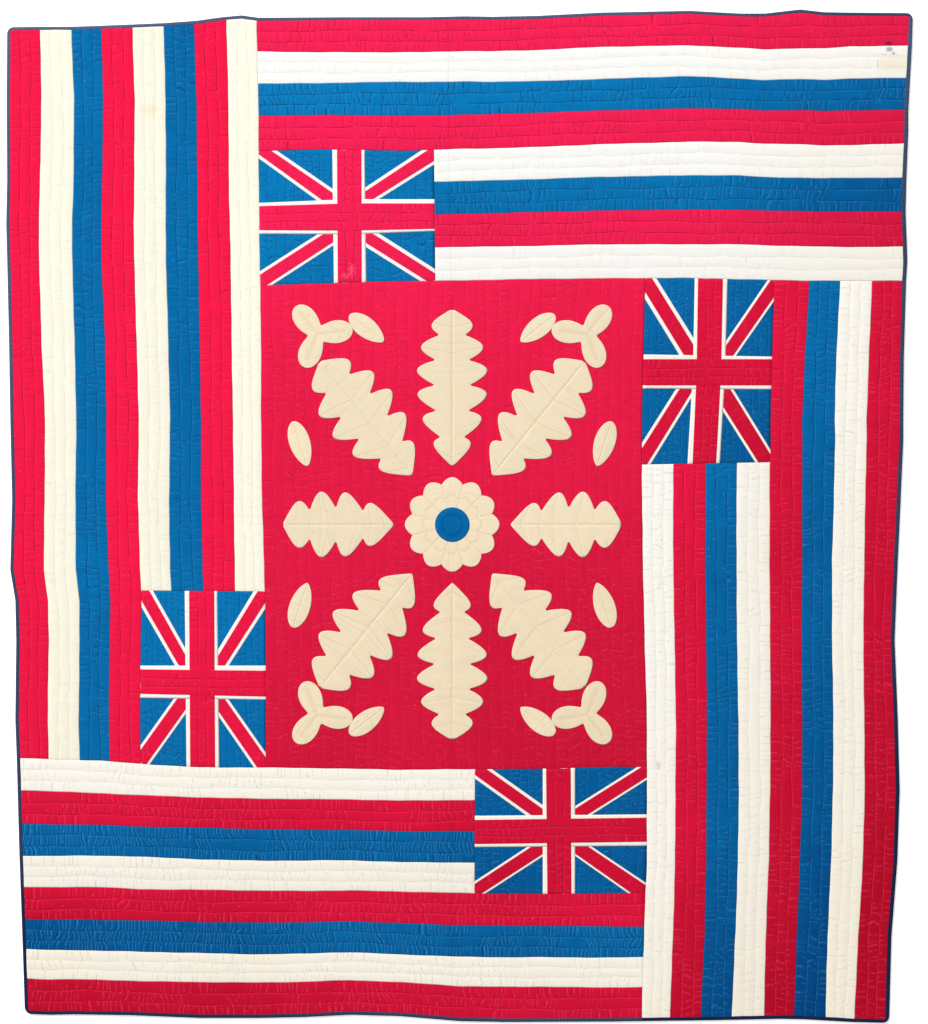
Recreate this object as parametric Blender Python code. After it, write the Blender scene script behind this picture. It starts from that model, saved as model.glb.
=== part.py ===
"""A pieced quilt: four striped flags round a plain centre panel, with a medallion and a bound edge.

Metres, +Z up. The quilt lies flat on its back with its origin under its middle: +X runs across it, to the
viewer's right, and +Y along its length, to the top. The flags go round the panel like a pinwheel: the left
and right flags have stripes along Y, and the top and bottom flags have stripes along X.
"""
import math

import bmesh
import bpy
import numpy as np

COLLECTION = "quilt"
MM = 0.001

# Cloth and padding
GAP = 0.3 * MM
MITRE_GAP = 0.25 * MM
BINDING_CLOTH = 1.0 * MM
BINDING_WIDTH = 8.0 * MM
BINDING_ROUNDING = 1.1 * MM
EDGE_THICKNESS = 2.2 * MM
SEAM_HEIGHT = 4.1 * MM
CROWN_HEIGHT = 6.6 * MM
PANEL_CROWN = 5.8 * MM
UNEVENNESS = 0.35 * MM
UNDERSIDE_LEDGE = 12.0 * MM

# Cells of the padded top: the stripes' seams run between them
STRIPES = 8
CELLS_PER_STRIPE = 3
CANTON_STRIPES = 4
PANEL_CELLS_ACROSS = 8
PANEL_CELLS_ALONG = 10
SETTLING_ROUNDS = 6

# The stripes' slow unevenness: turns in radians for each metre, along X and Y, and where they start
WAVE_ACROSS = (7.3, 2.1, 0.6)
WAVE_ALONG = (-1.9, 5.1, 0.3)

# The medallion: leaves and a rosette of cream cloth round the panel's middle
APPLIQUE_CLOTH = 1.0 * MM
PANEL_MIDDLE = (-17.0 * MM, -20.0 * MM)
ROSETTE_RADIUS = 104.0 * MM
ROSETTE_PETALS = 12
ROSETTE_NOTCH = 0.13
DISC_RADIUS = 38.0 * MM
LOBE_NOTCH = 0.44
LOBE_ROUNDNESS = 0.8
LEAF_RISE = 0.6
LEAF_FALL = 0.55
LEAF_LEAN = 0.3
TREFOIL_WAIST = 0.36
POINTS_TO_A_PETAL = 6
POINTS_TO_A_LOBE = 4
PLAIN_LEAF_POINTS = 9
DISC_POINTS = 28
TREFOIL_POINTS = 36
TREFOIL_RADIUS = 78.0 * MM
TREFOIL_PLACE = (296.0 * MM, 418.0 * MM)
TREFOIL_HEADING = math.radians(52.0)

# Leaves in the panel's upper right quarter, repeated by mirroring. Places are millimetres from the panel's
# middle, headings are degrees from +X, and a leaf with lobes is cut like a breadfruit leaf.
LEAVES = {
    "name": ("leaf_side", "leaf_corner", "leaf_long", "bud_side", "bud_end"),
    "x": (128, 88, 0, 318, 150),
    "y": (0, 108, 128, 128, 402),
    "heading": (0, 51, 90, 72, 38),
    "length": (244, 322, 345, 104, 96),
    "half_width": (74, 82, 78, 23, 22),
    "lobes": (4, 5, 6, 0, 0),
}

# The outline in millimetres from the middle, each edge from its left or lower end
TOP_EDGE = {
    "x": (-993, -925, -854, -746, -653, -581, -525, -480, -444, -257, -79, 9, 308, 506, 616, 680, 748, 792,
          860, 992),
    "y": (1070, 1072, 1072, 1074, 1082, 1086, 1093, 1099, 1093, 1097, 1097, 1098, 1107, 1110, 1106, 1106,
          1112, 1109, 1106, 1104),
}
BOTTOM_EDGE = {
    "x": (-955, -869, -724, -572, -440, -286, -132, 0, 176, 405, 726, 945),
    "y": (-1092, -1095, -1098, -1103, -1104, -1100, -1101, -1108, -1109, -1110, -1110, -1109),
}
LEFT_EDGE = {
    "y": (-1092, -1000, -855, -747, -640, -531, -450, -274, -186, -120, 34, 210, 386, 562, 738, 914, 1070),
    "x": (-955, -958, -961, -966, -969, -974, -978, -976, -978, -989, -986, -990, -993, -996, -996, -996,
          -993),
}
RIGHT_EDGE = {
    "y": (-1110, -925, -758, -604, -450, -274, -98, 8, 78, 210, 342, 512, 668, 747, 846, 891, 963, 1033,
          1104),
    "x": (943, 949, 961, 965, 960, 955, 963, 968, 970, 974, 976, 978, 977, 980, 986, 983, 984, 990, 996),
}

# Seams in millimetres from the middle, at stations along each flag. The stripes count from the flag's
# outer edge, so that seam 8 is the one at the centre panel.
LEFT_FLAG = {
    "station": (-527, -274, -120, 34, 210, 386, 562, 738, 914, 1068),
    "edge": (-976, -976, -989, -986, -990, -992, -995, -995, -995, -993),
    "seam_1": (-904, -904, -915, -913, -912, -920, -925, -923, -920, -923),
    "seam_2": (-836, -836, -844, -845, -843, -847, -852, -849, -848, -854),
    "seam_3": (-770, -770, -772, -778, -777, -780, -788, -786, -784, -788),
    "seam_4": (-702, -702, -703, -708, -706, -711, -716, -716, -715, -720),
    "seam_5": (-632, -633, -637, -639, -637, -641, -646, -646, -647, -651),
    "seam_6": (-564, -564, -565, -569, -569, -572, -575, -577, -579, -584),
    "seam_7": (-495, -495, -495, -497, -499, -502, -504, -508, -509, -513),
    "seam_8": (-427, -427, -430, -435, -437, -437, -440, -442, -443, -447),
}
RIGHT_FLAG = {
    "station": (-1088, -912, -758, -604, -450, -274, -98, 78, 210, 342, 512),
    "edge": (943, 948, 961, 965, 960, 955, 963, 970, 974, 976, 978),
    "seam_1": (868, 877, 886, 890, 889, 887, 889, 892, 894, 899, 906),
    "seam_2": (804, 809, 816, 820, 821, 818, 818, 823, 824, 827, 836),
    "seam_3": (735, 741, 747, 752, 752, 751, 752, 752, 752, 758, 768),
    "seam_4": (669, 673, 679, 682, 683, 682, 681, 681, 683, 686, 691),
    "seam_5": (598, 606, 611, 613, 612, 609, 608, 608, 612, 615, 618),
    "seam_6": (530, 538, 541, 542, 543, 541, 539, 540, 541, 543, 548),
    "seam_7": (462, 469, 473, 474, 475, 472, 469, 469, 471, 473, 478),
    "seam_8": (400, 405, 411, 411, 411, 406, 402, 400, 400, 403, 407),
}
TOP_FLAG = {
    "station": (-440, -308, -132, -22, 132, 308, 484, 616, 748, 858, 979),
    "edge": (1092, 1097, 1097, 1098, 1099, 1107, 1110, 1106, 1112, 1106, 1103),
    "seam_1": (1020, 1018, 1018, 1020, 1022, 1030, 1033, 1028, 1027, 1031, 1033),
    "seam_2": (949, 950, 953, 953, 954, 959, 965, 960, 959, 960, 962),
    "seam_3": (879, 880, 879, 880, 884, 890, 894, 893, 891, 890, 892),
    "seam_4": (804, 809, 805, 807, 810, 816, 821, 821, 816, 814, 818),
    "seam_5": (731, 735, 734, 734, 738, 744, 747, 747, 742, 742, 742),
    "seam_6": (657, 661, 661, 662, 666, 670, 672, 672, 669, 668, 668),
    "seam_7": (584, 588, 588, 590, 592, 596, 596, 596, 592, 590, 591),
    "seam_8": (509, 514, 516, 516, 519, 521, 522, 519, 516, 516, 516),
}
BOTTOM_FLAG = {
    "station": (-959, -792, -704, -572, -440, -286, -132, 0, 176, 308, 396),
    "edge": (-1092, -1096, -1099, -1103, -1104, -1100, -1101, -1109, -1110, -1111, -1111),
    "seam_1": (-1018, -1021, -1024, -1026, -1027, -1023, -1026, -1035, -1036, -1038, -1037),
    "seam_2": (-953, -957, -959, -962, -965, -961, -965, -970, -971, -972, -971),
    "seam_3": (-887, -889, -890, -894, -895, -893, -896, -901, -902, -903, -904),
    "seam_4": (-817, -817, -822, -823, -825, -825, -827, -830, -832, -831, -830),
    "seam_5": (-748, -748, -750, -756, -759, -758, -762, -763, -763, -763, -763),
    "seam_6": (-678, -680, -684, -686, -690, -691, -694, -694, -694, -693, -692),
    "seam_7": (-604, -611, -615, -620, -623, -624, -627, -626, -626, -624, -622),
    "seam_8": (-534, -539, -546, -554, -554, -556, -559, -558, -557, -553, -553),
}

# Where each canton lies along its flag, from the middle, by the way the flag's seams run and its side
CANTON_SPANS = {
    ("columns", "low"): (-531 * MM, -164 * MM),
    ("columns", "high"): (115 * MM, 516 * MM),
    ("rows", "low"): (31 * MM, 400 * MM),
    ("rows", "high"): (-440 * MM, -55 * MM),
}

# Colours, linear
COLOURS = {
    "quilt": (0.62, 0.030, 0.075),
    "binding": (0.045, 0.075, 0.13),
    "cream": (0.86, 0.77, 0.55),
    "blue": (0.02, 0.16, 0.42),
}


def clear_scene():
    """Removes what a new file starts with."""
    for obj in list(bpy.data.objects):
        bpy.data.objects.remove(obj, do_unlink=True)


def part_collection():
    """The collection that holds the quilt's pieces."""
    collection = bpy.data.collections.new(COLLECTION)
    bpy.context.scene.collection.children.link(collection)
    return collection


def cloth_material(name, colour):
    """A matt cloth finish."""
    material = bpy.data.materials.new(name)
    material.use_nodes = True
    shader = material.node_tree.nodes["Principled BSDF"]
    shader.inputs["Base Color"].default_value = (*colour, 1.0)
    shader.inputs["Roughness"].default_value = 0.92
    shader.inputs["Metallic"].default_value = 0.0
    return material


def add_piece(name, mesh, colour, collection):
    """Puts a mesh in the scene as one named piece."""
    piece = bpy.data.objects.new(name, mesh)
    piece.data.materials.append(cloth_material(name, colour))
    collection.objects.link(piece)
    return piece


def read_edge(edge, along, across, at):
    """One edge's distance from the middle, in metres, at places along it."""
    return np.interp(at, np.array(edge[along]) * MM, np.array(edge[across]) * MM)


def left_edge(y):
    """The quilt's left edge at each y."""
    return read_edge(LEFT_EDGE, "y", "x", y)


def right_edge(y):
    """The quilt's right edge at each y."""
    return read_edge(RIGHT_EDGE, "y", "x", y)


def bottom_edge(x):
    """The quilt's bottom edge at each x."""
    return read_edge(BOTTOM_EDGE, "x", "y", x)


def top_edge(x):
    """The quilt's top edge at each x."""
    return read_edge(TOP_EDGE, "x", "y", x)


def seam_share(flag, seam, at):
    """How far a seam lies from the flag's outer edge to its seam 8, from 0 to 1, at places along it."""
    edge, inner, line = (np.array(flag[key], float) for key in ("edge", "seam_8", f"seam_{seam}"))
    return np.interp(at, np.array(flag["station"]) * MM, (line - edge) / (inner - edge))


def inner_seam(flag, at):
    """The seam between a flag and the centre panel, carried straight on past the flag's ends."""
    return np.interp(at, np.array(flag["station"]) * MM, np.array(flag["seam_8"]) * MM)


def line_share(flag, line, at):
    """The share of the way across a flag for a grid line, where whole stripes end on seams."""
    seam, part = divmod(line, CELLS_PER_STRIPE)
    low = seam_share(flag, seam, at) if seam else np.zeros_like(at)
    if not part:
        return low
    high = seam_share(flag, seam + 1, at)
    return low + (high - low) * part / CELLS_PER_STRIPE


def grid_lines(panel_cells):
    """Names the grid's lines from the low side to the high side, as (kind, number) pairs.

    The ledge lines bound the strip under the binding, and the others count from the flag's outer edge.
    """
    flag_cells = STRIPES * CELLS_PER_STRIPE
    lines = [("low", 0), ("low_ledge", 0)]
    lines += [("low", line) for line in range(1, flag_cells + 1)]
    lines += [("panel", cell / panel_cells) for cell in range(1, panel_cells)]
    lines += [("high", line) for line in range(flag_cells, 0, -1)]
    lines += [("high_ledge", 0), ("high", 0)]
    return lines


def place_line(line, at, low_flag, high_flag, low_edge, high_edge, inset):
    """Where one grid line runs at places along it.

    Args:
        line: the (kind, number) pair of the line.
        at: places along the line.
        low_flag, high_flag: the seam tables on the line's low and high sides.
        low_edge, high_edge: functions that give the outline's two edges.
        inset: how far inside the outline the first and last lines run.
    Returns:
        The line's distance from the middle at each place.
    """
    kind, number = line
    low, high = low_edge(at) + inset, high_edge(at) - inset
    if kind == "low_ledge":
        return low + BINDING_WIDTH + GAP
    if kind == "high_ledge":
        return high - BINDING_WIDTH - GAP
    if kind == "low":
        return low + (inner_seam(low_flag, at) - low) * line_share(low_flag, number, at)
    if kind == "high":
        return high + (inner_seam(high_flag, at) - high) * line_share(high_flag, number, at)
    start, end = inner_seam(low_flag, at), inner_seam(high_flag, at)
    return start + (end - start) * number


def straighten_border(points, stations):
    """Puts the border points between two stations on the straight line that joins them."""
    places = np.arange(len(points))
    return np.stack([np.interp(places, stations, points[stations, axis]) for axis in (0, 1)], axis=1)


def border_stations(lines):
    """The grid lines at which the outline turns: the seams and every other line of the panel."""
    keep = []
    for place, (kind, number) in enumerate(lines):
        on_seam = kind in ("low", "high") and number % CELLS_PER_STRIPE == 0
        if on_seam or (kind == "panel" and place % 2):
            keep.append(place)
    return np.array(keep)


def layout():
    """The grid of the padded top.

    Columns follow the seams of the left and right flags, and rows those of the bottom and top flags. Each
    crossing is found by going from column to row and back until it settles, since both are nearly straight.

    Returns:
        The columns, the rows, and the crossings as an array of columns by rows by x and y.
    """
    columns = grid_lines(PANEL_CELLS_ACROSS)
    rows = grid_lines(PANEL_CELLS_ALONG)
    inset = BINDING_CLOTH + GAP
    x = np.zeros((len(columns), len(rows)))
    y = np.zeros_like(x)
    for _ in range(SETTLING_ROUNDS):
        for i, column in enumerate(columns):
            x[i] = place_line(column, y[i], LEFT_FLAG, RIGHT_FLAG, left_edge, right_edge, inset)
        for j, row in enumerate(rows):
            y[:, j] = place_line(row, x[:, j], BOTTOM_FLAG, TOP_FLAG, bottom_edge, top_edge, inset)
    grid = np.stack([x, y], axis=2)
    across, along = border_stations(columns), border_stations(rows)
    for side in (0, -1):
        grid[side] = straighten_border(grid[side], along)
        grid[:, side] = straighten_border(grid[:, side], across)
    return columns, rows, grid


def stripe_height(lines):
    """Height along a row of cells that cross a flag: low at each seam and crowned between seams."""
    heights = []
    for kind, number in lines:
        if kind.endswith("ledge") or (kind in ("low", "high") and number == 0):
            heights.append(BINDING_CLOTH + GAP + EDGE_THICKNESS)
        elif kind == "panel":
            heights.append(PANEL_CROWN)
        else:
            heights.append(CROWN_HEIGHT if number % CELLS_PER_STRIPE else SEAM_HEIGHT)
    return np.array(heights)


def region_of(column, row):
    """Which part of the top a crossing is in, as the way its seams run: by columns, by rows or neither."""
    across, along = column[0].split("_")[0], row[0].split("_")[0]
    if (across == "low" and along != "low") or (across == "high" and along != "high"):
        return "columns"
    return "panel" if along == "panel" else "rows"


def in_canton(region, line, place):
    """Whether a crossing is inside a canton, which takes the place of a flag's inner stripes at one end.

    Args:
        region: the way the flag's seams run.
        line: the (kind, number) pair of the line that runs along the flag.
        place: how far along the flag the crossing lies, from the middle.
    """
    kind, number = line
    start, end = CANTON_SPANS[region, kind]
    outer, inner = (STRIPES - CANTON_STRIPES) * CELLS_PER_STRIPE, STRIPES * CELLS_PER_STRIPE
    return outer < number < inner and start < place < end


def heights(columns, rows, grid):
    """The padded top's height at each crossing.

    Left and right flags take their seams and crowns from the columns, the other two from the rows. A low,
    slow wave makes the stripes' padding uneven, as in an old quilt, and the panel and cantons stay level
    under what is sewn on them.
    """
    by_column, by_row = stripe_height(columns), stripe_height(rows)
    edge = BINDING_CLOTH + GAP + EDGE_THICKNESS
    z = np.empty(grid.shape[:2])
    for i, column in enumerate(columns):
        for j, row in enumerate(rows):
            region = region_of(column, row)
            if min(by_column[i], by_row[j]) <= edge:
                z[i, j] = edge
            elif region == "panel":
                z[i, j] = PANEL_CROWN
            elif region == "columns":
                level = in_canton(region, column, grid[i, j, 1])
                z[i, j] = PANEL_CROWN if level else by_column[i]
            else:
                level = in_canton(region, row, grid[i, j, 0])
                z[i, j] = PANEL_CROWN if level else by_row[j]
    x, y = grid[..., 0], grid[..., 1]
    across, along = (turn[0] * x + turn[1] * y + turn[2] for turn in (WAVE_ACROSS, WAVE_ALONG))
    wave = np.sin(across) * np.cos(along)
    return np.where((z > edge) & (z != PANEL_CROWN), z + UNEVENNESS * wave, z)


def ring_of(count_across, count_along):
    """The border crossings in order, anticlockwise seen from above, from the low left corner."""
    ring = [(i, 0) for i in range(count_across)]
    ring += [(count_across - 1, j) for j in range(1, count_along)]
    ring += [(i, count_along - 1) for i in range(count_across - 2, -1, -1)]
    ring += [(0, j) for j in range(count_along - 2, 0, -1)]
    return ring


def quilt_body(collection):
    """The filled quilt: a padded top, thin edges for the binding, and a flat underside."""
    columns, rows, grid = layout()
    z = heights(columns, rows, grid)
    mesh = bmesh.new()
    top = [[mesh.verts.new((*grid[i, j], z[i, j])) for j in range(len(rows))] for i in range(len(columns))]
    for i in range(len(columns) - 1):
        for j in range(len(rows) - 1):
            mesh.faces.new((top[i][j], top[i + 1][j], top[i + 1][j + 1], top[i][j + 1]))
    ring = ring_of(len(columns), len(rows))
    loop = [top[i][j] for i, j in ring]
    lip = BINDING_CLOTH + GAP
    for inward, height in ((0.0, lip), (UNDERSIDE_LEDGE, lip), (UNDERSIDE_LEDGE + lip, 0.0)):
        loop = add_ring(mesh, loop, grid, ring, inward, height)
    mesh.faces.new(loop[::-1])
    data = bpy.data.meshes.new("quilt")
    mesh.normal_update()
    mesh.to_mesh(data)
    mesh.free()
    add_piece("quilt", data, COLOURS["quilt"], collection)
    return columns, rows, grid


def add_ring(mesh, above, grid, ring, inward, height):
    """Joins a new ring, moved inward from the border and set at a height, under the ring above it."""
    far = (grid.shape[0] - 1, grid.shape[1] - 1)
    below = []
    for i, j in ring:
        step = np.array([int(i == 0) - int(i == far[0]), int(j == 0) - int(j == far[1])])
        x, y = grid[i, j] + step * inward
        if not step[0]:
            x = min(max(x, grid[0, j, 0] + inward), grid[-1, j, 0] - inward)
        if not step[1]:
            y = min(max(y, grid[i, 0, 1] + inward), grid[i, -1, 1] - inward)
        below.append(mesh.verts.new((x, y, height)))
    count = len(ring)
    for k in range(count):
        mesh.faces.new((above[k], below[k], below[(k + 1) % count], above[(k + 1) % count]))
    return below


def binding_section():
    """The binding's section: a folded strip round the quilt's edge.

    Returns:
        (inward, height) pairs, anticlockwise when the inward distance points right and height points up.
    """
    lip = BINDING_CLOTH + GAP
    high = lip + EDGE_THICKNESS + lip
    bend = BINDING_ROUNDING
    return [
        (BINDING_WIDTH, 0.0),
        (BINDING_WIDTH, BINDING_CLOTH),
        (BINDING_CLOTH, BINDING_CLOTH),
        (BINDING_CLOTH, high - BINDING_CLOTH),
        (BINDING_WIDTH, high - BINDING_CLOTH),
        (BINDING_WIDTH, high),
        (bend, high),
        (0.0, high - bend),
        (0.0, bend),
        (bend, 0.0),
    ]


def mitre_travel(edge_step, side, other_step, other_side, inward):
    """How far along its own edge a strip's end lies from the corner, at a distance in from the outline.

    It is where the strip's own edge line, moved inward, meets the next side's line moved inward as far.
    """
    shift = (np.array(other_side) - np.array(side)) * inward
    own, _ = np.linalg.solve(np.stack([edge_step, -other_step], axis=1), shift)
    return own


def binding_strip(name, outline, side, corners, collection):
    """One side's binding, mitred at both corners.

    Args:
        name: the piece's name.
        outline: the quilt's outline along this side, at its stations.
        side: the unit step that points inward from this side.
        corners: for the first and last station, the next side's edge step and its inward unit step.
        collection: the collection for the piece.
    """
    mesh = bmesh.new()
    rings = []
    last = len(outline) - 1
    ends = {0: (outline[1] - outline[0], *corners[0]), last: (outline[-2] - outline[-1], *corners[1])}
    for place, point in enumerate(outline):
        ring = []
        for inward, height in binding_section():
            spot = point + np.array(side) * inward
            if place in ends:
                edge_step, other_step, other_side = ends[place]
                travel = mitre_travel(edge_step, side, other_step, other_side, inward)
                travel += MITRE_GAP / np.linalg.norm(edge_step)
                spot = spot + edge_step * travel
            ring.append(mesh.verts.new((*spot, height)))
        rings.append(ring)
    count = len(binding_section())
    for first, second in zip(rings, rings[1:]):
        for k in range(count):
            mesh.faces.new((first[k], first[(k + 1) % count], second[(k + 1) % count], second[k]))
    mesh.faces.new(rings[0][::-1])
    mesh.faces.new(rings[-1])
    bmesh.ops.recalc_face_normals(mesh, faces=mesh.faces)
    data = bpy.data.meshes.new(name)
    mesh.to_mesh(data)
    mesh.free()
    add_piece(name, data, COLOURS["binding"], collection)


def binding(columns, rows, grid, collection):
    """The four strips that cover the edges."""
    across, along = border_stations(columns), border_stations(rows)
    wrap = BINDING_CLOTH + GAP
    up, down, right, left = (0.0, 1.0), (0.0, -1.0), (1.0, 0.0), (-1.0, 0.0)
    sides = {
        "bottom": (grid[across, 0], up),
        "right": (grid[-1, along], left),
        "top": (grid[across, -1], down),
        "left": (grid[0, along], right),
    }
    corner_shift = {"bottom": (right, left), "top": (right, left), "right": (up, down), "left": (up, down)}
    outlines = {}
    for name, (border, side) in sides.items():
        outline = border - np.array(side) * wrap
        for place, inward in zip((0, -1), corner_shift[name]):
            outline[place] = outline[place] - np.array(inward) * wrap
        outlines[name] = outline
    next_sides = {
        "bottom": (("left", 0), ("right", 0)),
        "top": (("left", -1), ("right", -1)),
        "left": (("bottom", 0), ("top", 0)),
        "right": (("bottom", -1), ("top", -1)),
    }
    for name, (border, side) in sides.items():
        corners = []
        for other, end in next_sides[name]:
            line = outlines[other]
            other_step = line[1] - line[0] if end == 0 else line[-2] - line[-1]
            corners.append((other_step, sides[other][1]))
        binding_strip(f"binding_{name}", outlines[name], side, corners, collection)


def leaf_outline(length, half_width, lobes):
    """A leaf's cut edge, from its root at the origin to its tip on +X and back.

    The half width rises quickly and falls to a point. Lobes cut it in towards the midrib, and the cut edge
    leans towards the tip with the half width, as breadfruit leaves do.
    """
    share = np.linspace(0.0, 1.0, POINTS_TO_A_LOBE * lobes + PLAIN_LEAF_POINTS)
    rise = share**LEAF_RISE * (1.0 - share) ** LEAF_FALL
    width = half_width * rise / rise.max()
    if lobes:
        lobe = np.abs(np.sin(math.pi * lobes * share)) ** LOBE_ROUNDNESS
        width = width * (LOBE_NOTCH + (1.0 - LOBE_NOTCH) * lobe)
    along = share * length + LEAF_LEAN * width * (1.0 - share)
    lower = np.stack([along, -width], axis=1)
    upper = np.stack([along, width], axis=1)[-2:0:-1]
    return np.concatenate([lower, upper])


def rosette_outline():
    """The rosette's cut edge, with a scallop to each petal."""
    turn = np.linspace(0.0, 2.0 * math.pi, POINTS_TO_A_PETAL * ROSETTE_PETALS, endpoint=False)
    scallop = np.abs(np.cos(turn * ROSETTE_PETALS / 2.0))
    reach = ROSETTE_RADIUS * (1.0 - ROSETTE_NOTCH + ROSETTE_NOTCH * scallop)
    return np.stack([reach * np.cos(turn), reach * np.sin(turn)], axis=1)


def trefoil_outline():
    """A three-lobed leaf's cut edge round its own middle, one lobe on +X."""
    turn = np.linspace(0.0, 2.0 * math.pi, TREFOIL_POINTS, endpoint=False)
    reach = TREFOIL_RADIUS * (1.0 - TREFOIL_WAIST + TREFOIL_WAIST * np.cos(3.0 * turn))
    return np.stack([reach * np.cos(turn), reach * np.sin(turn)], axis=1)


def disc_outline():
    """The round patch in the rosette's middle."""
    turn = np.linspace(0.0, 2.0 * math.pi, DISC_POINTS, endpoint=False)
    return DISC_RADIUS * np.stack([np.cos(turn), np.sin(turn)], axis=1)


def placed(outline, place, heading, mirror=(1, 1)):
    """An outline turned to its heading, put in place and mirrored about the panel's middle."""
    turn = np.array([[math.cos(heading), math.sin(heading)], [-math.sin(heading), math.cos(heading)]])
    points = (outline @ turn + np.array(place)) * np.array(mirror) + np.array(PANEL_MIDDLE)
    return points[:: mirror[0] * mirror[1]]


def applique(name, outline, colour, seat, collection):
    """One cut piece of cloth: a flat outline with the cloth's thickness, on the surface at a height."""
    curve = bpy.data.curves.new(name, "CURVE")
    curve.dimensions = "2D"
    curve.fill_mode = "BOTH"
    curve.extrude = APPLIQUE_CLOTH / 2.0
    spline = curve.splines.new("POLY")
    spline.points.add(len(outline) - 1)
    for point, (x, y) in zip(spline.points, outline):
        point.co = (x, y, 0.0, 1.0)
    spline.use_cyclic_u = True
    piece = add_piece(name, curve, colour, collection)
    piece.location.z = seat + APPLIQUE_CLOTH / 2.0


def quarters(x, y):
    """The mirror images that a leaf needs: four, or two where it lies on a middle line."""
    for across in (1, -1) if x else (1,):
        for along in (1, -1) if y else (1,):
            yield across, along


def medallion(collection):
    """The appliqued medallion: a rosette with a round patch, lobed leaves, buds and corner trefoils."""
    seat = PANEL_CROWN + GAP
    applique("rosette", placed(rosette_outline(), (0, 0), 0.0), COLOURS["cream"], seat, collection)
    above = seat + APPLIQUE_CLOTH + GAP
    applique("rosette_disc", placed(disc_outline(), (0, 0), 0.0), COLOURS["blue"], above, collection)
    for name, x, y, heading, length, half_width, lobes in zip(*LEAVES.values()):
        outline = leaf_outline(length * MM, half_width * MM, lobes)
        for number, mirror in enumerate(quarters(x, y), start=1):
            points = placed(outline, (x * MM, y * MM), math.radians(heading), mirror)
            applique(f"{name}_{number}", points, COLOURS["cream"], seat, collection)
    for number, mirror in enumerate(quarters(1, 1), start=1):
        points = placed(trefoil_outline(), TREFOIL_PLACE, TREFOIL_HEADING, mirror)
        applique(f"trefoil_{number}", points, COLOURS["cream"], seat, collection)


def main():
    """Builds the quilt."""
    clear_scene()
    collection = part_collection()
    columns, rows, grid = quilt_body(collection)
    binding(columns, rows, grid, collection)
    medallion(collection)


main()
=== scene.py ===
"""The looks of a pieced quilt that lies flat, face up.

Metres, +Z up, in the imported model's frame: +X across the quilt to the viewer's right and +Y up to its top
edge. Four striped flags go round a plain centre panel like a pinwheel. Each patch of cloth is a grid of
points worked out from the seams beside it, with its padding, its stitched rows and its puckers.
"""

import logging
import math
from collections.abc import Callable
from dataclasses import dataclass, replace
from enum import Enum

import bmesh
import bpy
import numpy as np
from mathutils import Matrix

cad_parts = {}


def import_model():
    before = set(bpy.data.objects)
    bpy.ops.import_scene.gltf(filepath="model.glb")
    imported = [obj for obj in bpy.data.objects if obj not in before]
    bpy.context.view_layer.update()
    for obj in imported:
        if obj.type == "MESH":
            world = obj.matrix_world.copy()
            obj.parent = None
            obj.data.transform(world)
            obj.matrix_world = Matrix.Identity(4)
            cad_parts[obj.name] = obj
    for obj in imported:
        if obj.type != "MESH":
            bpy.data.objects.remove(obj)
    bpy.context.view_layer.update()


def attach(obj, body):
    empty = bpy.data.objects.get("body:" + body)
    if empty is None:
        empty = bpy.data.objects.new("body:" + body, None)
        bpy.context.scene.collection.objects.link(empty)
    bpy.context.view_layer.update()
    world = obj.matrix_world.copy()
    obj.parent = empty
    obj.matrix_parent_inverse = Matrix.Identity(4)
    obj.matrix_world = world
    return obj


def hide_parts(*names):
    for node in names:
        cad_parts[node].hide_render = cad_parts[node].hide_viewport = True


LOG = logging.getLogger("quilt")
MM = 0.001
SEED = 1893
Line = Callable[[np.ndarray], np.ndarray]
Colour = tuple[int, int, int]
Socket = bpy.types.NodeSocket


class Run(Enum):
    """The way a patch's stitched rows run."""

    UP = "along the quilt"
    ACROSS = "across the quilt"


# Cloth finishes


@dataclass(frozen=True)
class Stain:
    """A soft-edged mark on the cloth, with its place and half sizes in metres."""

    place: tuple[float, float]
    size: tuple[float, float]
    colour: Colour
    strength: float
    ragged: float = 0.5
    square: bool = False


def linear(colour: Colour, gain: float = 1.0) -> tuple[float, float, float, float]:
    """A display colour, 0 to 255 a channel, as linear light times a gain.

    Args:
        colour: the display colour.
        gain: the factor on its light.
    Returns:
        The linear colour, with full alpha.
    """
    share = np.array(colour, float) / 255.0
    light = np.where(share <= 0.04045, share / 12.92, ((share + 0.055) / 1.055) ** 2.4)
    return (*(float(part) for part in light * gain), 1.0)


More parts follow.
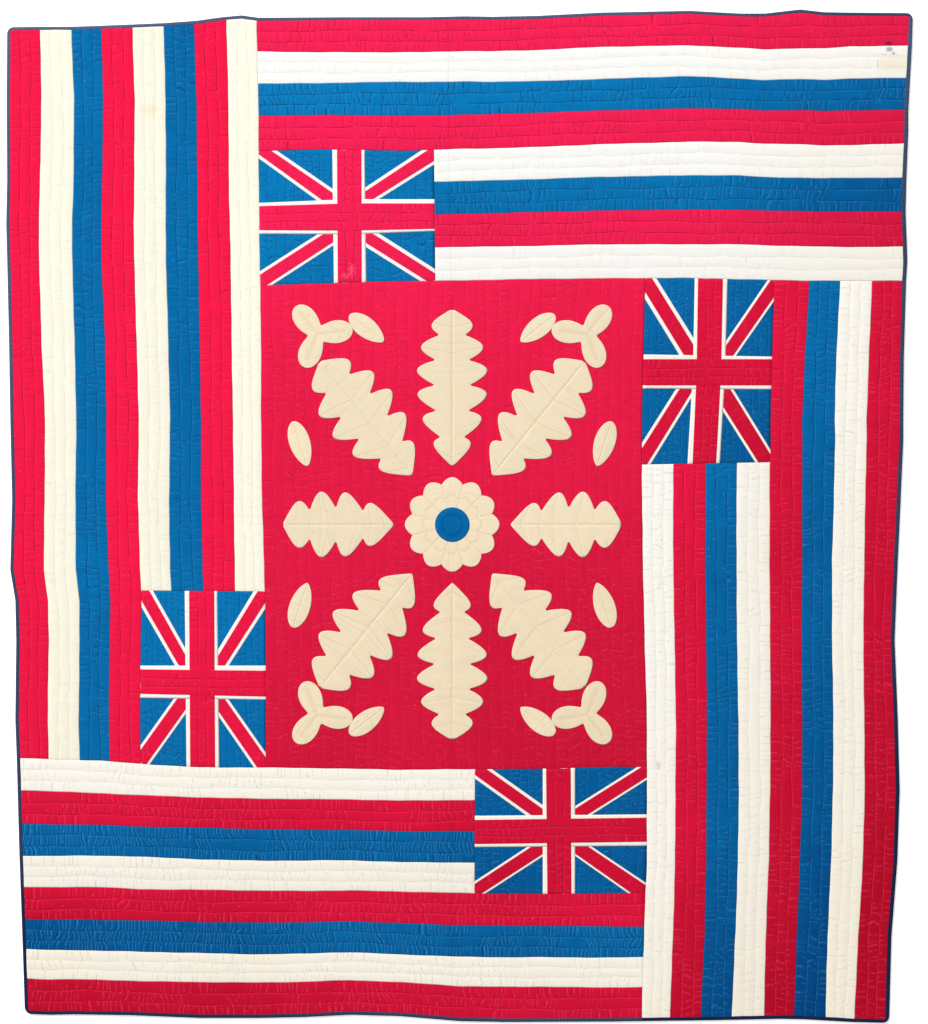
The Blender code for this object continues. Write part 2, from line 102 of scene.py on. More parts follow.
class ShaderSheet:
    """The nodes of one cloth's material."""

    def __init__(self, name: str) -> None:
        """Starts a material with its Principled shader.

        Args:
            name: the material's name.
        """
        self.material = bpy.data.materials.new(name)
        self.material.use_nodes = True
        self.tree = self.material.node_tree
        self.shader = self.tree.nodes["Principled BSDF"]

    def node(self, kind: str, values: dict | None = None, **settings: object) -> bpy.types.Node:
        """Adds a node.

        Args:
            kind: the node's type.
            values: constants or other nodes' outputs, by socket name or number.
            settings: the node's own properties.
        Returns:
            The new node.
        """
        node = self.tree.nodes.new(kind)
        for key, value in settings.items():
            setattr(node, key, value)
        for key, value in (values or {}).items():
            if isinstance(value, Socket):
                self.tree.links.new(value, node.inputs[key])
            else:
                node.inputs[key].default_value = value
        return node

    def mix(self, share: object, low: object, high: object) -> Socket:
        """Mixes two colours by a share and returns the result's socket."""
        return self.node("ShaderNodeMix", {0: share, 6: low, 7: high}, data_type="RGBA").outputs[2]

    def maths(self, operation: str, *values: object, clamp: bool = False) -> Socket:
        """Works out one operation on up to three numbers."""
        node = self.node("ShaderNodeMath", dict(enumerate(values)), operation=operation, use_clamp=clamp)
        return node.outputs[0]

    def ramp(self, value: object, start: float, end: float) -> Socket:
        """A smooth step from 0 at start to 1 at end."""
        values = {"Value": value, "From Min": start, "From Max": end}
        return self.node("ShaderNodeMapRange", values, interpolation_type="SMOOTHSTEP").outputs[0]

    def noise(self, where: object, scale: float, detail: float = 2.0, space: str = "3D") -> Socket:
        """A noise value at a scale in turns for each metre, in two or three dimensions."""
        values = {"Vector": where, "Scale": scale, "Detail": detail}
        return self.node("ShaderNodeTexNoise", values, noise_dimensions=space).outputs["Fac"]

    def attribute(self, name: str) -> Socket:
        """A number kept at each of the mesh's points."""
        return self.node("ShaderNodeAttribute", attribute_name=name).outputs["Fac"]

    def spot(self, x: object, y: object) -> Socket:
        """A place put together from two numbers."""
        return self.node("ShaderNodeCombineXYZ", {0: x, 1: y}).outputs[0]

    def line(self, value: object, middle: float, core: float, rim: float) -> Socket:
        """1 where a value is within core of the middle, and a smooth fall to 0 at rim."""
        far = self.maths("ABSOLUTE", self.maths("SUBTRACT", value, middle))
        return self.maths("SUBTRACT", 1.0, self.ramp(far, core, rim))


@dataclass(frozen=True)
class ShadeAndFade:
    """How painted shade and the cloth's own fading change the depth of every cloth's colour over the quilt,
    in metres and shares.

    Painted shade deepens it to the right, in the zone at the far right and close to the bottom edge, away
    from the lamp at the upper left. Left of the seam at their end, the lowest stripes lean from deep at the
    left to light at the right, about the pivot. The drift is the cloth's own uneven fading, at random.
    """

    rightward: float = 0.16
    right_zone: tuple[float, float] = (0.4, 1.0)
    right: float = 0.3
    low_zone: tuple[float, float] = (0.8, 1.1)
    low_slant: float = 0.2
    low: float = 0.1
    lowest_zone: tuple[float, float] = (0.78, 0.9)
    lowest_end: tuple[float, float] = (0.395, 0.405)
    pivot: float = -0.38
    lean: float = -0.5
    drift: float = 0.6
    drift_scale: float = 2.3


@dataclass(frozen=True)
class Creasing:
    """How fine creases and stitched rows are drawn, in metres and in turns for each metre.

    A cloth's own fineness adds to the spacing, the lean and the shares. Widths are (core, rim) pairs. Creases
    and rows are painted shade, and the shifted lines beside them are painted highlights.
    """

    number_step: float = 17.3
    own_range: float = 900.0
    density: tuple[float, float] = (25.0, 62.0)
    lean: tuple[float, float] = (0.9, 2.2)
    lean_scale: tuple[float, float] = (0.4, 15.0)
    here_scale: tuple[float, float] = (2.7, 9.0)
    here_more: float = 0.12
    uneven_scale: tuple[float, float] = (3.3, 90.0)
    uneven_more: float = 0.08
    kept: tuple[float, float] = (0.42, 0.66)
    ridge_shift: float = 2.1 * MM
    crease_width: tuple[float, float] = (0.04, 0.15)
    ridge_width: tuple[float, float] = (0.05, 0.26)
    row_width: tuple[float, float] = (0.4 * MM, 1.5 * MM)
    row_scale: float = 26.0
    row_kept: tuple[float, float] = (0.34, 0.54)
    beside_shift: float = 2.4 * MM
    beside_width: tuple[float, float] = (0.4 * MM, 1.6 * MM)
    beside_share: float = 0.7


@dataclass(frozen=True)
class WearingAndShading:
    """How cloth is mottled, specked and stained, and how its painted shade and highlights are broken up and
    mixed in. Scales are in turns for each metre.

    A pair of shares is a value's least and how much the noise adds to it. A pair of limits is where a smooth
    step starts and ends.
    """

    blotch_scale: float = 38.0
    grain_scale: float = 210.0
    grain_share: float = 0.8
    # The rough noise breaks up the painted shade in creases; the share after it sets the painted highlights.
    rough_scale: float = 130.0
    rough_shares: tuple[float, float] = (0.6, 0.8)
    ridge_highlight_share: float = 0.5
    speck_scale: float = 62.0
    speck_rim: tuple[float, float] = (0.05, 0.12)
    speck_chosen: tuple[float, float] = (0.80, 0.84)
    stain_scale: float = 170.0
    stain_reach: float = 3.0
    stain_rim: tuple[float, float] = (0.55, 1.25)


@dataclass(frozen=True)
class Weaving:
    """The cloth's threads and its small rumples, as a bump, with how they catch the light."""

    thread: float = 0.55 * MM
    stray: float = 0.6
    height: float = 0.3
    rumple_scale: float = 150.0
    bump: float = 0.7 * MM
    bump_strength: float = 0.5
    tint: tuple[float, float] = (0.985, 0.05)
    roughness_spread: float = 0.12
    specular: float = 0.04
    sheen_roughness: float = 0.5


SHADE_AND_FADE = ShadeAndFade()
CREASING = Creasing()
WEARING_AND_SHADING = WearingAndShading()
WEAVING = Weaving()


@dataclass(frozen=True)
class Cotton:
    """A plain woven cotton, faded, puckered and lightly marked.

    The colour lies between its faded and its deep shade by the piece's own depth. Painted shade deepens it
    slowly towards the quilt's bottom right, away from the lamp, and fall is how much in each metre down.
    It has mottling, specks and stains, painted shade in its creases and stitched rows, and painted
    highlights beside them. The weave is a fine bump on the cloth's own map, which is in metres.
    """

    name: str
    slot: str
    faded: Colour
    deep: Colour
    # The crease colour is painted shade for creases, stitched rows, puckers and seams, mixed in by
    # crease_share.
    crease: Colour
    speck: Colour
    # The last colour is the painted highlight beside creases and stitched rows.
    ridge_highlight: Colour
    crease_share: float = 0.8
    mottle: float = 0.10
    speck_share: float = 0.35
    roughness: float = 0.88
    sheen: float = 0.012
    gain: float = 0.93
    fall: float = 0.34
    stains: tuple[Stain, ...] = ()

    def material(self) -> bpy.types.Material:
        """The cloth's material, made the first time it is asked for.

        Returns:
            The material.
        """
        made = bpy.data.materials.get(self.name)
        if made:
            return made
        sheet = ShaderSheet(self.name)
        where = sheet.node("ShaderNodeTexCoord").outputs["Object"]
        cloth = sheet.node("ShaderNodeUVMap", uv_map="cloth").outputs["UV"]
        dark, light = self.creases(sheet, cloth)
        colour = self.ground(sheet, where)
        colour = self.wear_and_shade(sheet, where, dark, light, colour)
        for stain in self.stains:
            colour = self.stained(sheet, where, colour, stain)
        self.finish(sheet, where, cloth, colour)
        return sheet.material

    def creases(self, sheet: ShaderSheet, cloth: object) -> tuple[Socket, Socket]:
        """Works out the fine creases across the strips and the stitched rows between them.

        Creases cross each strip at uneven steps with a slow lean, which differ from strip to strip and come
        and go. A row is dark within a stitch's width of it, brokenly. Both are painted shade, and each has a
        painted highlight on its side away from the lamp.

        Args:
            sheet: the material's nodes.
            cloth: the cloth's own map, in metres.
        Returns:
            How much painted shade and painted highlight each place gets, from 0 to 1.
        """
        how = CREASING
        strip, fine, lit = (sheet.attribute(name) for name in ("strip", "fine", "lit"))
        along = sheet.node("ShaderNodeSeparateXYZ", {0: cloth}).outputs["Y"]
        own = sheet.maths("MULTIPLY", sheet.attribute("tone"), how.own_range)
        number = sheet.maths("FLOOR", strip)
        own = sheet.maths("MULTIPLY_ADD", number, how.number_step, own)

        def cloudy(across: object, scale: tuple[float, float]) -> Socket:
            """A noise value at a place on the cloth.

            Args:
                across: the place across, in strips.
                scale: the noise's turns for each strip across, and for each metre along.
            Returns:
                The value's socket.
            """
            spot = sheet.spot(
                sheet.maths("MULTIPLY", across, scale[0]), sheet.maths("MULTIPLY_ADD", along, scale[1], own)
            )
            return sheet.noise(spot, 1.0, 1.0, "2D")

        density = sheet.maths("MULTIPLY_ADD", fine, how.density[1], how.density[0])
        lean = sheet.maths("MULTIPLY_ADD", fine, how.lean[1], how.lean[0])
        lean = sheet.maths("MULTIPLY", cloudy(strip, how.lean_scale), lean)
        edges = []
        # The second set of edges, shifted by lit, places the painted highlights beside the creases.
        for shift in (0.0, how.ridge_shift):
            place = sheet.maths("MULTIPLY_ADD", lit, shift, along)
            place = sheet.maths("ADD", sheet.maths("MULTIPLY_ADD", place, density, own), lean)
            values = {"W": place, "Scale": 1.0, "Randomness": 1.0}
            cells = sheet.node(
                "ShaderNodeTexVoronoi", values, voronoi_dimensions="1D", feature="DISTANCE_TO_EDGE"
            )
            edges.append(cells.outputs["Distance"])
        here = sheet.maths("MULTIPLY_ADD", fine, how.here_more, cloudy(number, how.here_scale))
        here = sheet.ramp(here, *how.kept)
        uneven = sheet.maths("MULTIPLY_ADD", fine, how.uneven_more, cloudy(strip, how.uneven_scale))
        uneven = sheet.ramp(uneven, *how.kept)
        share = sheet.maths("MULTIPLY", sheet.maths("MULTIPLY", here, uneven), fine)
        # Painted shade in the fine creases, and painted highlights beside them.
        crease = sheet.maths("MULTIPLY", sheet.line(edges[0], 0.0, *how.crease_width), share)
        ridge_highlight = sheet.maths("MULTIPLY", sheet.line(edges[1], 0.0, *how.ridge_width), share)
        # Painted shade along the stitched rows, brokenly, and a painted highlight beside each.
        signed = sheet.maths("SUBTRACT", sheet.maths("FRACT", sheet.maths("ADD", strip, 0.5)), 0.5)
        signed = sheet.maths("MULTIPLY", signed, sheet.attribute("pitch"))
        stitch = sheet.maths("MULTIPLY_ADD", along, how.row_scale, 3.0)
        spot = sheet.spot(sheet.maths("ROUND", strip), stitch)
        broken = sheet.ramp(sheet.noise(spot, 1.0, 2.0, "2D"), *how.row_kept)
        broken = sheet.maths("MULTIPLY", broken, sheet.attribute("row"))
        row = sheet.maths("MULTIPLY", sheet.line(signed, 0.0, *how.row_width), broken)
        beside = sheet.maths("MULTIPLY", sheet.line(signed, how.beside_shift, *how.beside_width), broken)
        # Dark gathers all the painted shade, the mesh's marks too, and light all the painted highlights.
        pressed = sheet.maths("MAXIMUM", sheet.attribute("crease"), row)
        dark = sheet.maths("MAXIMUM", pressed, crease, clamp=True)
        light = sheet.maths("MAXIMUM", sheet.maths("MULTIPLY", beside, how.beside_share), ridge_highlight, clamp=True)
        return dark, light

    def ground(self, sheet: ShaderSheet, where: object) -> Socket:
        """The cloth's colour: a slow turn from faded to deep, mottled at two sizes.

        Painted shade deepens it down and to the right, away from the lamp, and more so in the zones of the
        shade and fade settings. The lowest stripes deepen to the left instead, and a slow drift adds the
        cloth's own uneven fading.

        Args:
            sheet: the material's nodes.
            where: the place on the quilt, in metres.
        Returns:
            The colour's socket.
        """
        apart = sheet.node("ShaderNodeSeparateXYZ", {0: where})
        x, y = apart.outputs["X"], apart.outputs["Y"]
        # Painted shade: deeper down and to the right, away from the lamp at the upper left.
        slope = sheet.maths("MULTIPLY_ADD", y, -self.fall, sheet.attribute("depth"))
        slope = sheet.maths("MULTIPLY_ADD", x, SHADE_AND_FADE.rightward, slope)
        slope = sheet.maths("MULTIPLY_ADD", sheet.ramp(x, *SHADE_AND_FADE.right_zone), SHADE_AND_FADE.right, slope)
        low = sheet.maths("SUBTRACT", sheet.maths("MULTIPLY", x, SHADE_AND_FADE.low_slant), y)
        slope = sheet.maths("MULTIPLY_ADD", sheet.ramp(low, *SHADE_AND_FADE.low_zone), SHADE_AND_FADE.low, slope)
        # The lowest stripes deepen to the left.
        lowest = sheet.ramp(sheet.maths("MULTIPLY", y, -1.0), *SHADE_AND_FADE.lowest_zone)
        within = sheet.maths("SUBTRACT", 1.0, sheet.ramp(x, *SHADE_AND_FADE.lowest_end))
        lowest = sheet.maths("MULTIPLY", lowest, within)
        lean = sheet.maths("MULTIPLY", sheet.maths("SUBTRACT", x, SHADE_AND_FADE.pivot), lowest)
        slope = sheet.maths("MULTIPLY_ADD", lean, SHADE_AND_FADE.lean, slope)
        # The cloth's own uneven fading, at random.
        drift = sheet.maths("SUBTRACT", sheet.noise(where, SHADE_AND_FADE.drift_scale, 3.0), 0.5)
        slope = sheet.maths("MULTIPLY_ADD", drift, SHADE_AND_FADE.drift, slope, clamp=True)
        colour = sheet.mix(slope, linear(self.faded, self.gain), linear(self.deep, self.gain))
        tone = sheet.attribute("tone")
        blotch = sheet.noise(where, WEARING_AND_SHADING.blotch_scale, 4.0)
        patchy = sheet.maths("MULTIPLY_ADD", blotch, self.mottle * 2.0, 1.0 - self.mottle)
        grain = sheet.noise(where, WEARING_AND_SHADING.grain_scale)
        half = self.mottle * WEARING_AND_SHADING.grain_share
        fine = sheet.maths("MULTIPLY_ADD", grain, half * 2.0, 1.0 - half)
        value = sheet.maths("MULTIPLY", sheet.maths("MULTIPLY", patchy, fine), tone)
        return sheet.node("ShaderNodeHueSaturation", {"Color": colour, "Value": value}).outputs[0]

    def wear_and_shade(
        self, sheet: ShaderSheet, where: object, dark: object, light: object, colour: object
    ) -> Socket:
        """Paints shade into creases and stitched rows, paints highlights beside them and adds specks of lint.

        Args:
            sheet: the material's nodes.
            where: the place on the quilt, in metres.
            dark: how much painted shade each place gets, from 0 to 1.
            light: how much painted highlight each place gets, from 0 to 1.
            colour: the cloth's colour, with its painted shade towards the bottom right.
        Returns:
            The colour's socket, with its painted shade, painted highlights and lint.
        """
        how = WEARING_AND_SHADING
        least, more = how.rough_shares
        rough = sheet.maths("MULTIPLY_ADD", sheet.noise(where, how.rough_scale), more, least)
        # Painted highlights beside creases and rows.
        share = sheet.maths("MULTIPLY", light, how.ridge_highlight_share)
        colour = sheet.mix(share, colour, linear(self.ridge_highlight, self.gain))
        # Painted shade in creases and rows, broken up by the rough noise.
        share = sheet.maths("MULTIPLY", sheet.maths("MULTIPLY", dark, rough), self.crease_share, clamp=True)
        colour = sheet.mix(share, colour, linear(self.crease, self.gain))
        values = {"Vector": where, "Scale": how.speck_scale, "Randomness": 1.0}
        cells = sheet.node("ShaderNodeTexVoronoi", values)
        random = sheet.node("ShaderNodeSeparateColor", {0: cells.outputs["Color"]})
        dot = sheet.maths("SUBTRACT", 1.0, sheet.ramp(cells.outputs["Distance"], *how.speck_rim))
        chosen = sheet.ramp(random.outputs[0], *how.speck_chosen)
        share = sheet.maths("MULTIPLY", sheet.maths("MULTIPLY", dot, chosen), self.speck_share)
        return sheet.mix(share, colour, linear(self.speck, self.gain))

    def stained(self, sheet: ShaderSheet, where: object, colour: object, stain: Stain) -> Socket:
        """Lays one mark on the cloth: full inside its half sizes and broken up towards its rim.

        Args:
            sheet: the material's nodes.
            where: the place on the quilt, in metres.
            colour: the cloth's colour so far.
            stain: the mark.
        Returns:
            The marked colour's socket.
        """
        back = tuple(-place / size for place, size in zip(stain.place, stain.size))
        mapping = {
            "Vector": where,
            "Location": (*back, 0.0),
            "Scale": (1.0 / stain.size[0], 1.0 / stain.size[1], 0.0),
        }
        spot = sheet.node("ShaderNodeMapping", mapping, vector_type="POINT").outputs[0]
        if stain.square:
            apart = sheet.node("ShaderNodeSeparateXYZ", {0: spot})
            sides = [sheet.maths("ABSOLUTE", apart.outputs[axis]) for axis in ("X", "Y")]
            far = sheet.maths("MAXIMUM", *sides)
        else:
            far = sheet.node("ShaderNodeVectorMath", {0: spot}, operation="LENGTH").outputs["Value"]
        rough = sheet.noise(where, WEARING_AND_SHADING.stain_scale, 5.0)
        ragged = sheet.maths("MULTIPLY_ADD", rough, stain.ragged * WEARING_AND_SHADING.stain_reach, far)
        rim = (limit + stain.ragged for limit in WEARING_AND_SHADING.stain_rim)
        inside = sheet.maths("SUBTRACT", 1.0, sheet.ramp(ragged, *rim))
        share = sheet.maths("MULTIPLY", inside, stain.strength)
        return sheet.mix(share, colour, linear(stain.colour, self.gain))

    def finish(self, sheet: ShaderSheet, where: object, cloth: object, colour: object) -> None:
        """Joins the colour, roughness and weave to the shader.

        Args:
            sheet: the material's nodes.
            where: the place on the quilt, in metres.
            cloth: the cloth's own map, in metres.
            colour: the worn and marked colour.
        """
        how = WEAVING
        turns = 2.0 * math.pi / 20.0 / how.thread
        threads = []
        for direction in ("X", "Y"):
            values = {"Vector": cloth, "Scale": turns, "Distortion": how.stray, "Detail": 1.0}
            wave = sheet.node("ShaderNodeTexWave", values, bands_direction=direction)
            threads.append(wave.outputs["Fac"])
        weave = sheet.maths("MULTIPLY", *threads)
        rumple = sheet.noise(where, how.rumple_scale, 5.0)
        height = sheet.maths("MULTIPLY_ADD", weave, how.height, rumple)
        bump = {"Height": height, "Strength": how.bump_strength, "Distance": how.bump}
        normal = sheet.node("ShaderNodeBump", bump).outputs["Normal"]
        tint = sheet.maths("MULTIPLY_ADD", weave, how.tint[1], how.tint[0])
        colour = sheet.node("ShaderNodeHueSaturation", {"Color": colour, "Value": tint}).outputs[0]
        least = self.roughness - how.roughness_spread / 2.0
        rough = sheet.maths("MULTIPLY_ADD", rumple, how.roughness_spread, least)
        sheet.tree.links.new(colour, sheet.shader.inputs["Base Color"])
        sheet.tree.links.new(rough, sheet.shader.inputs["Roughness"])
        sheet.tree.links.new(normal, sheet.shader.inputs["Normal"])
        sheet.shader.inputs["Specular IOR Level"].default_value = how.specular
        sheet.shader.inputs["Sheen Weight"].default_value = self.sheen
        sheet.shader.inputs["Sheen Roughness"].default_value = how.sheen_roughness


ROSE_MARKS = (
    Stain((-0.238, 0.541), (0.011, 0.022), (255, 104, 138), 0.5, 0.9),
    Stain((-0.252, 0.526), (0.018, 0.011), (255, 108, 140), 0.45, 0.9),
    Stain((0.943, 1.0385), (0.011, 0.005), (96, 34, 52), 0.75, 0.3),
)
WHITE_MARKS = (
    Stain((0.950, 0.9935), (0.034, 0.021), (246, 234, 206), 0.6, 0.12, True),
    Stain((0.940, 1.0135), (0.042, 0.0012), (150, 152, 150), 0.6, 1.0, True),
    Stain((0.918, 0.993), (0.0012, 0.022), (150, 152, 150), 0.6, 1.0, True),
    Stain((0.944, 1.025), (0.0085, 0.0065), (158, 168, 178), 0.85, 0.2),
    Stain((0.953, 1.016), (0.0045, 0.0045), (150, 160, 165), 0.7, 0.3),
    Stain((0.436, -0.549), (0.009, 0.013), (214, 186, 150), 0.5, 0.6),
)
AGED_MARKS = (Stain((-0.682, 0.892), (0.024, 0.020), (244, 226, 168), 0.45, 0.6),)
# Each cloth lists its faded and deep colours, the painted shade in its creases, its specks of lint and its
# painted highlight.
RED = Cotton(
    "cotton_red", "quilt_top", (250, 26, 74), (185, 11, 39), (150, 2, 26), (255, 120, 140), (255, 58, 100),
    crease_share=0.62,
)
ROSE = replace(RED, name="cotton_red_rose", faded=(250, 33, 86), deep=(198, 17, 50), stains=ROSE_MARKS)
PLAIN = replace(RED, name="cotton_red_plain", faded=(250, 31, 80), deep=(196, 17, 46), fall=0.65)
WHITE = Cotton(
    "cotton_white", "cream", (255, 254, 250), (250, 241, 223), (208, 194, 168), (196, 150, 110),
    (255, 254, 248), crease_share=0.6, mottle=0.035, speck_share=0.45, stains=WHITE_MARKS,
)
AGED_WHITE = replace(
    WHITE, name="cotton_white_aged", faded=(254, 251, 232), deep=(246, 238, 212), stains=AGED_MARKS
)
BLUE = Cotton(
    "cotton_blue", "blue", (4, 124, 189), (1, 68, 130), (0, 44, 98), (120, 178, 214), (48, 136, 196),
    crease_share=0.66, mottle=0.18,
)
AGED_BLUE = replace(BLUE, name="cotton_blue_aged", fall=0.02)
CREAM = Cotton(
    "cotton_cream", "cream", (248, 232, 200), (242, 222, 188), (204, 176, 136), (170, 120, 80),
    (254, 244, 220), crease_share=0.5, mottle=0.05, speck_share=0.4,
)
DARK = Cotton(
    "cotton_binding", "binding", (98, 112, 142), (28, 40, 74), (12, 20, 44), (130, 145, 170), (104, 118, 150),
)
LINING = Cotton(
    "cotton_lining", "cream", (240, 230, 208), (232, 220, 196), (190, 172, 140), (170, 140, 100),
    (250, 244, 228), crease_share=0.7, mottle=0.05,
)
PADDING = Cotton(
    "cotton_padding", "cream", (236, 230, 216), (230, 224, 210), (200, 190, 170), (150, 120, 90),
    (244, 240, 230), mottle=0.08,
)


# Meshes


@dataclass(frozen=True)
class WearAndShade:
    """What sets one piece of cloth apart, with the strength and the side of its painted shade and highlights.

    Depth is how far it is from its faded shade to its deep one, and tone its lightness, or None for one that
    is drawn for it. Fine is how many fine creases of painted shade cross its strips, row how dark the painted
    shade in its stitched rows is, and pitch the width of a strip in metres. Lit is 1 where the lamp is at the
    far end of the cloth, or -1 at the near end, and sets the side of each painted highlight.
    """

    depth: float = 0.5
    tone: float | None = None
    fine: float = 0.0
    row: float = 0.0
    pitch: float = 1.0
    lit: float = 1.0


@dataclass
class ClothGrid:
    """One surface as a grid of points, with how much painted shade its crease mark gives and which stitched
    strip it is in at each.

    A strip's middle is at a half, and a cloth without rows is all there. A folded grid is a strip of cloth
    round an edge, whose upper half looks up and lower half down.
    """

    points: np.ndarray
    crease: np.ndarray
    folded: bool = False
    strip: np.ndarray | float = 0.5

    def turned_down(self, depth: float) -> "ClothGrid":
        """The grid with a turned edge: its border goes straight down by a depth.

        Args:
            depth: how far the border goes down.
        Returns:
            The new grid.
        """
        points = np.pad(self.points, ((1, 1), (1, 1), (0, 0)), mode="edge")
        parts = (part + np.zeros(self.crease.shape) for part in (self.crease, self.strip))
        crease, strip = (np.pad(part, 1, mode="edge") for part in parts)
        border = np.ones(crease.shape, bool)
        border[1:-1, 1:-1] = False
        points[..., 2] -= depth * border
        return ClothGrid(points, crease, strip=strip)

    def spread(self, axis: int) -> np.ndarray:
        """How far each line of points is from the first one, as the mean distance between lines."""
        steps = np.linalg.norm(np.diff(self.points, axis=axis), axis=2).mean(axis=1 - axis)
        return np.concatenate([[0.0], np.cumsum(steps)])

    def quads(self) -> np.ndarray:
        """The corners of each cell as (across, along) places, turned so that the faces look up.

        Returns:
            The places, as an array of cells by four corners by two.
        """
        across, along = self.crease.shape
        i, j = np.meshgrid(np.arange(across - 1), np.arange(along - 1), indexing="ij")
        corners = np.stack([[i, j], [i + 1, j], [i + 1, j + 1], [i, j + 1]])
        corners = corners.transpose(2, 3, 0, 1).reshape(-1, 4, 2)
        spots = self.points[corners[..., 0], corners[..., 1]]
        facing = np.cross(spots[:, 2] - spots[:, 0], spots[:, 3] - spots[:, 1])
        corners = corners[np.linalg.norm(facing, axis=1) > 1e-12]
        height = spots[..., 2].mean(axis=1)
        weight = height - height.mean() if self.folded else 1.0
        return corners if (facing[:, 2] * weight).sum() > 0 else corners[:, ::-1]


class Workbench:
    """Makes objects from grids and attaches them to the quilt's body."""

    def __init__(self) -> None:
        """Starts with a fixed seed, so each run gives the same quilt."""
        self.random = np.random.default_rng(SEED)

    def tone(self) -> float:
        """One piece's own lightness: no two lengths of cloth have faded alike."""
        return float(self.random.uniform(0.965, 1.025))

    def piece(
        self, name: str, grids: list[ClothGrid], cotton: Cotton, wear_and_shade: WearAndShade = WearAndShade()
    ) -> bpy.types.Object:
        """Makes one object from one or more grids.

        The map called cloth is in metres. The map for baking folds a long grid into rows, so that it fills
        its square, and gives each grid of the piece a tile of its own.

        Args:
            name: the object's name.
            grids: the surfaces, with any turned edges.
            cotton: the finish.
            wear_and_shade: what sets the piece apart.
        Returns:
            The object, in the scene.
        """
        first = 0
        verts, faces, cloth_map, bake_map = [], [], [], []
        tiles = math.ceil(math.sqrt(len(grids)))
        for number, grid in enumerate(grids):
            corners = grid.quads()
            verts.append(eased(grid.points).reshape(-1, 3))
            faces.append(first + corners[..., 0] * grid.crease.shape[1] + corners[..., 1])
            first += grid.crease.size
            metres, tile = self.maps(grid, corners)
            cloth_map.append(metres)
            bake_map.append((tile + (number % tiles, number // tiles)) / tiles)
        mesh = bpy.data.meshes.new(name)
        vertices, quads = np.concatenate(verts), np.concatenate(faces)
        mesh.vertices.add(len(vertices))
        mesh.vertices.foreach_set("co", vertices.astype(np.float32).ravel())
        mesh.loops.add(quads.size)
        mesh.loops.foreach_set("vertex_index", quads.astype(np.int32).ravel())
        mesh.polygons.add(len(quads))
        mesh.polygons.foreach_set("loop_start", np.arange(0, quads.size, 4, dtype=np.int32))
        mesh.polygons.foreach_set("use_smooth", np.ones(len(quads), bool))
        for layer, places in (("cloth", cloth_map), ("OFBake", bake_map)):
            corners = np.concatenate(places).astype(np.float32).ravel()
            mesh.uv_layers.new(name=layer).data.foreach_set("uv", corners)
        mesh.update(calc_edges=True)
        # Fine, row and lit set the piece's painted shade and highlights.
        marks = {"tone": wear_and_shade.tone or self.tone(), "depth": wear_and_shade.depth, "fine": wear_and_shade.fine, "row": wear_and_shade.row}
        marks |= {"pitch": wear_and_shade.pitch, "lit": wear_and_shade.lit}
        for label in ("crease", "strip"):
            parts = [getattr(grid, label) + np.zeros(grid.crease.shape) for grid in grids]
            marks[label] = np.concatenate([part.ravel() for part in parts])
        for label, value in marks.items():
            values = np.zeros(len(vertices), np.float32) + np.float32(value)
            mesh.attributes.new(label, "FLOAT", "POINT").data.foreach_set("value", values)
        return self.place(name, mesh, cotton)

    @staticmethod
    def maps(grid: ClothGrid, corners: np.ndarray) -> tuple[np.ndarray, np.ndarray]:
        """One grid's two maps at each face's corners: in metres, and folded into rows in a unit square.

        Args:
            grid: the piece's surface.
            corners: the corners of its faces, as (across, along) places.
        Returns:
            The map in metres and the map for baking.
        """
        across, along = grid.spread(0), grid.spread(1)
        metres = np.stack([across[corners[..., 0]], along[corners[..., 1]]], axis=2)
        cells = len(along) - 1
        folds = max(1, round(math.sqrt(along[-1] / across[-1])))
        per_row = math.ceil(cells / folds)
        row = corners[..., 1].min(axis=1) // per_row
        starts = along[np.minimum(np.arange(folds + 1) * per_row, cells)]
        longest = np.diff(starts).max()
        u = (metres[..., 1] - starts[row][:, None]) / longest
        v = (row[:, None] + 0.04 + 0.92 * metres[..., 0] / across[-1]) / folds
        return metres, 0.02 + 0.96 * np.stack([u, v], axis=2)

    @staticmethod
    def place(name: str, mesh: bpy.types.Mesh, cotton: Cotton) -> bpy.types.Object:
        """Puts a mesh in the scene as one object, riding on the quilt's body, with its cloth.

        Args:
            name: the object's name.
            mesh: its mesh.
            cotton: its finish.
        Returns:
            The object.
        """
        obj = bpy.data.objects.new(name, mesh)
        bpy.context.scene.collection.objects.link(obj)
        mesh.materials.append(cotton.material())
        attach(obj, "root")
        return obj


@dataclass(frozen=True)
class Settling:
    """How the top has settled, in metres. Slants are (by x, by y, start) of a turn in radians.

    A fold strays from its place by a slow sine, given as its reach and its turns. The upright fold has a
    fainter one beside it. Tones are the painted shade in the upright and the level fold's furrows.
    """

    wave: float = 0.18 * MM
    sine_slant: tuple[float, float, float] = (7.3, 2.1, 0.6)
    cosine_slant: tuple[float, float, float] = (-1.9, 5.1, 0.3)
    upright: float = -0.021
    upright_stray: tuple[float, float] = (0.004, 5.0)
    upright_width: float = 2.4 * MM
    beside_shift: float = 9.0 * MM
    beside_width: float = 1.8 * MM
    beside_share: float = 0.5
    level: float = -0.002
    level_stray: tuple[float, float] = (0.003, 6.0)
    level_width: float = 3.2 * MM
    level_share: float = 0.6
    depth: float = 0.25 * MM
    tones: tuple[float, float] = (0.26, 0.12)


SETTLING = Settling()


